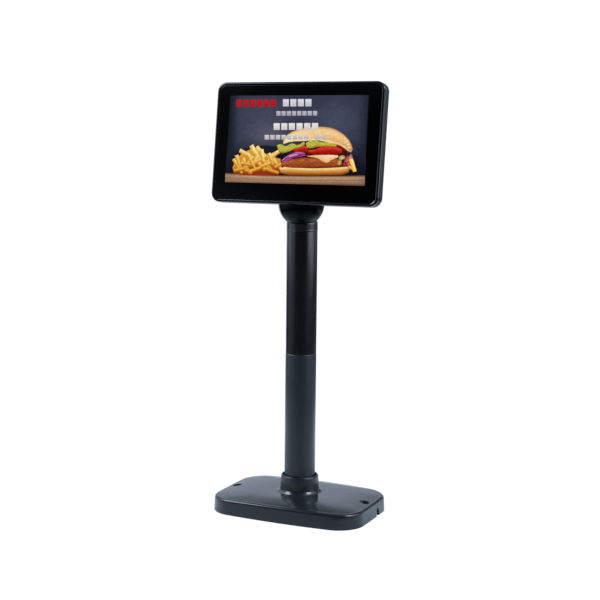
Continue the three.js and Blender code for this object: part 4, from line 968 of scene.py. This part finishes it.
def direction(az, el, r):
    return (r * math.cos(el * D2R) * math.sin(az * D2R), -r * math.cos(el * D2R) * math.cos(az * D2R), 0.2 + r * math.sin(el * D2R))


def unseen(ob):
    """The set is there to light the object and to be reflected, and the camera never sees it."""
    ob.visible_camera = ob.visible_shadow = ob.visible_transmission = ob.visible_volume_scatter = False
    scene.collection.objects.link(ob)
    return ob


def glowing(name, verts, faces, colours):
    """A mesh that gives off the light its points state."""
    me = bpy.data.meshes.new(name)
    me.from_pydata(verts, [], faces)
    attr = me.color_attributes.new("glow", "FLOAT_COLOR", "POINT")
    attr.data.foreach_set("color", [v for c in colours for v in (*c, 1)])
    m = bpy.data.materials.new(name)
    m.use_nodes = True
    N = Nodes(m.node_tree)
    for n in list(m.node_tree.nodes):
        m.node_tree.nodes.remove(n)
    out, e, col = N.new("ShaderNodeOutputMaterial"), N.new("ShaderNodeEmission"), N.new("ShaderNodeVertexColor", layer_name="glow")
    N.link(col.outputs["Color"], e.inputs["Color"])
    N.link(e.outputs["Emission"], out.inputs["Surface"])
    me.materials.append(m)
    return unseen(bpy.data.objects.new(name, me))


def make_studio():
    azs, els = [-180 + 5 * i for i in range(72)], [-90, -80, -70, -60] + [-55 + 3 * i for i in range(49)]
    verts = [direction(a, e, 2.4) for e in els for a in azs]
    faces = [(72 * r + c, 72 * r + (c + 1) % 72, 72 * (r + 1) + (c + 1) % 72, 72 * (r + 1) + c) for r in range(len(els) - 1) for c in range(72)]
    colours = []
    for e in els:
        t = ramp(e, 24, 16)
        for a in azs:
            v = sky(a, e)
            colours.append([v * (p + (q - p) * t) for p, q in zip(LOW_TINT, HIGH_TINT)])
    glowing("studio_light", verts, faces, colours)


def counter(az, r):
    """Strength of the lit counter at a point, smooth between the stated ones and gone beyond the last."""
    def at(row):
        k = ((az + 180) % 360) / 45 - 0.5
        i = math.floor(k)
        f = k - i
        f = f * f * (3 - 2 * f)
        return row[i % 8] * (1 - f) + row[(i + 1) % 8] * f
    if r <= COUNTER[0][0]:
        return at(COUNTER[0][1])
    for (r0, a), (r1, b) in zip(COUNTER, COUNTER[1:]):
        if r <= r1:
            t = (r - r0) / (r1 - r0)
            return at(a) * (1 - t) + at(b) * t
    return at(COUNTER[-1][1]) * (1 - ramp(r, 0.63, 0.14))


def make_counter():
    azs, radii = [-180 + 7.5 * i for i in range(48)], [0.0, 0.04, 0.075, 0.1, 0.12, 0.145, 0.17, 0.19, 0.215, 0.25, 0.29, 0.34, 0.38, 0.42, 0.47, 0.52, 0.56, 0.6, 0.65, 0.7]
    verts = [(r * math.sin(a * D2R), -r * math.cos(a * D2R), -0.002) for r in radii for a in azs]
    faces = [(48 * r + c, 48 * r + (c + 1) % 48, 48 * (r + 1) + (c + 1) % 48, 48 * (r + 1) + c) for r in range(len(radii) - 1) for c in range(48)]
    glowing("counter_light", verts, faces, [[counter(a, r) * t for t in COUNTER_TINT] for r in radii for a in azs])


def softbox(name, az0, az1, el0, el1, strength, color=(0.89, 1.0, 1.13), r=2.3, n=8):
    """A glowing panel on the inside of the studio, bounded by two azimuths and two elevations."""
    verts = [direction(az0 + (az1 - az0) * i / n, el0 + (el1 - el0) * j / n, r) for j in range(n + 1) for i in range(n + 1)]
    faces = [((n + 1) * j + i, (n + 1) * j + i + 1, (n + 1) * (j + 1) + i + 1, (n + 1) * (j + 1) + i) for j in range(n) for i in range(n)]
    me = bpy.data.meshes.new(name)
    me.from_pydata(verts, [], faces)
    me.materials.append(glow(name, strength, color))
    return unseen(bpy.data.objects.new(name, me))


def make_floor():
    """The pale floor that the camera sees, as white as the backdrop; it gives no reflection of its own."""
    verts = [(0, 0, -0.0006)] + [(2.2 * math.sin(k * math.pi / 36), 2.2 * math.cos(k * math.pi / 36), -0.0006) for k in range(72)]
    me = bpy.data.meshes.new("floor")
    me.from_pydata(verts, [], [(0, 1 + (k + 1) % 72, 1 + k) for k in range(72)])
    me.materials.append(glow("floor", 1.02))
    ob = bpy.data.objects.new("floor", me)
    ob.visible_diffuse = ob.visible_glossy = ob.visible_shadow = ob.visible_transmission = ob.visible_volume_scatter = False
    scene.collection.objects.link(ob)


make_floor()
make_studio()
make_counter()
softbox("box_left", -74, -40, 28, 50, 11.0)
softbox("box_right", 72, 98, 31, 50, 12.0)
softbox("box_side", 72, 104, 4, 11, 3.4)

# ---------------------------------------------------------------------- camera
cam_data = bpy.data.cameras.new("camera")
cam = bpy.data.objects.new("camera", cam_data)
scene.collection.objects.link(cam)
cam_data.lens, cam_data.sensor_width = 76.67, 36.0
cam_data.clip_start, cam_data.clip_end = 0.05, 20
right, up = Vector((0.90879483, 0.41712844, 0.00978946)), Vector((-0.06189505, 0.11157342, 0.99182678))
back = right.cross(up).normalized()
up = back.cross(right).normalized()
cam.matrix_world = Matrix(((right.x, up.x, back.x, 0.541536), (right.y, up.y, back.y, -1.187318), (right.z, up.z, back.z, 0.388870), (0, 0, 0, 1)))
scene.camera = cam
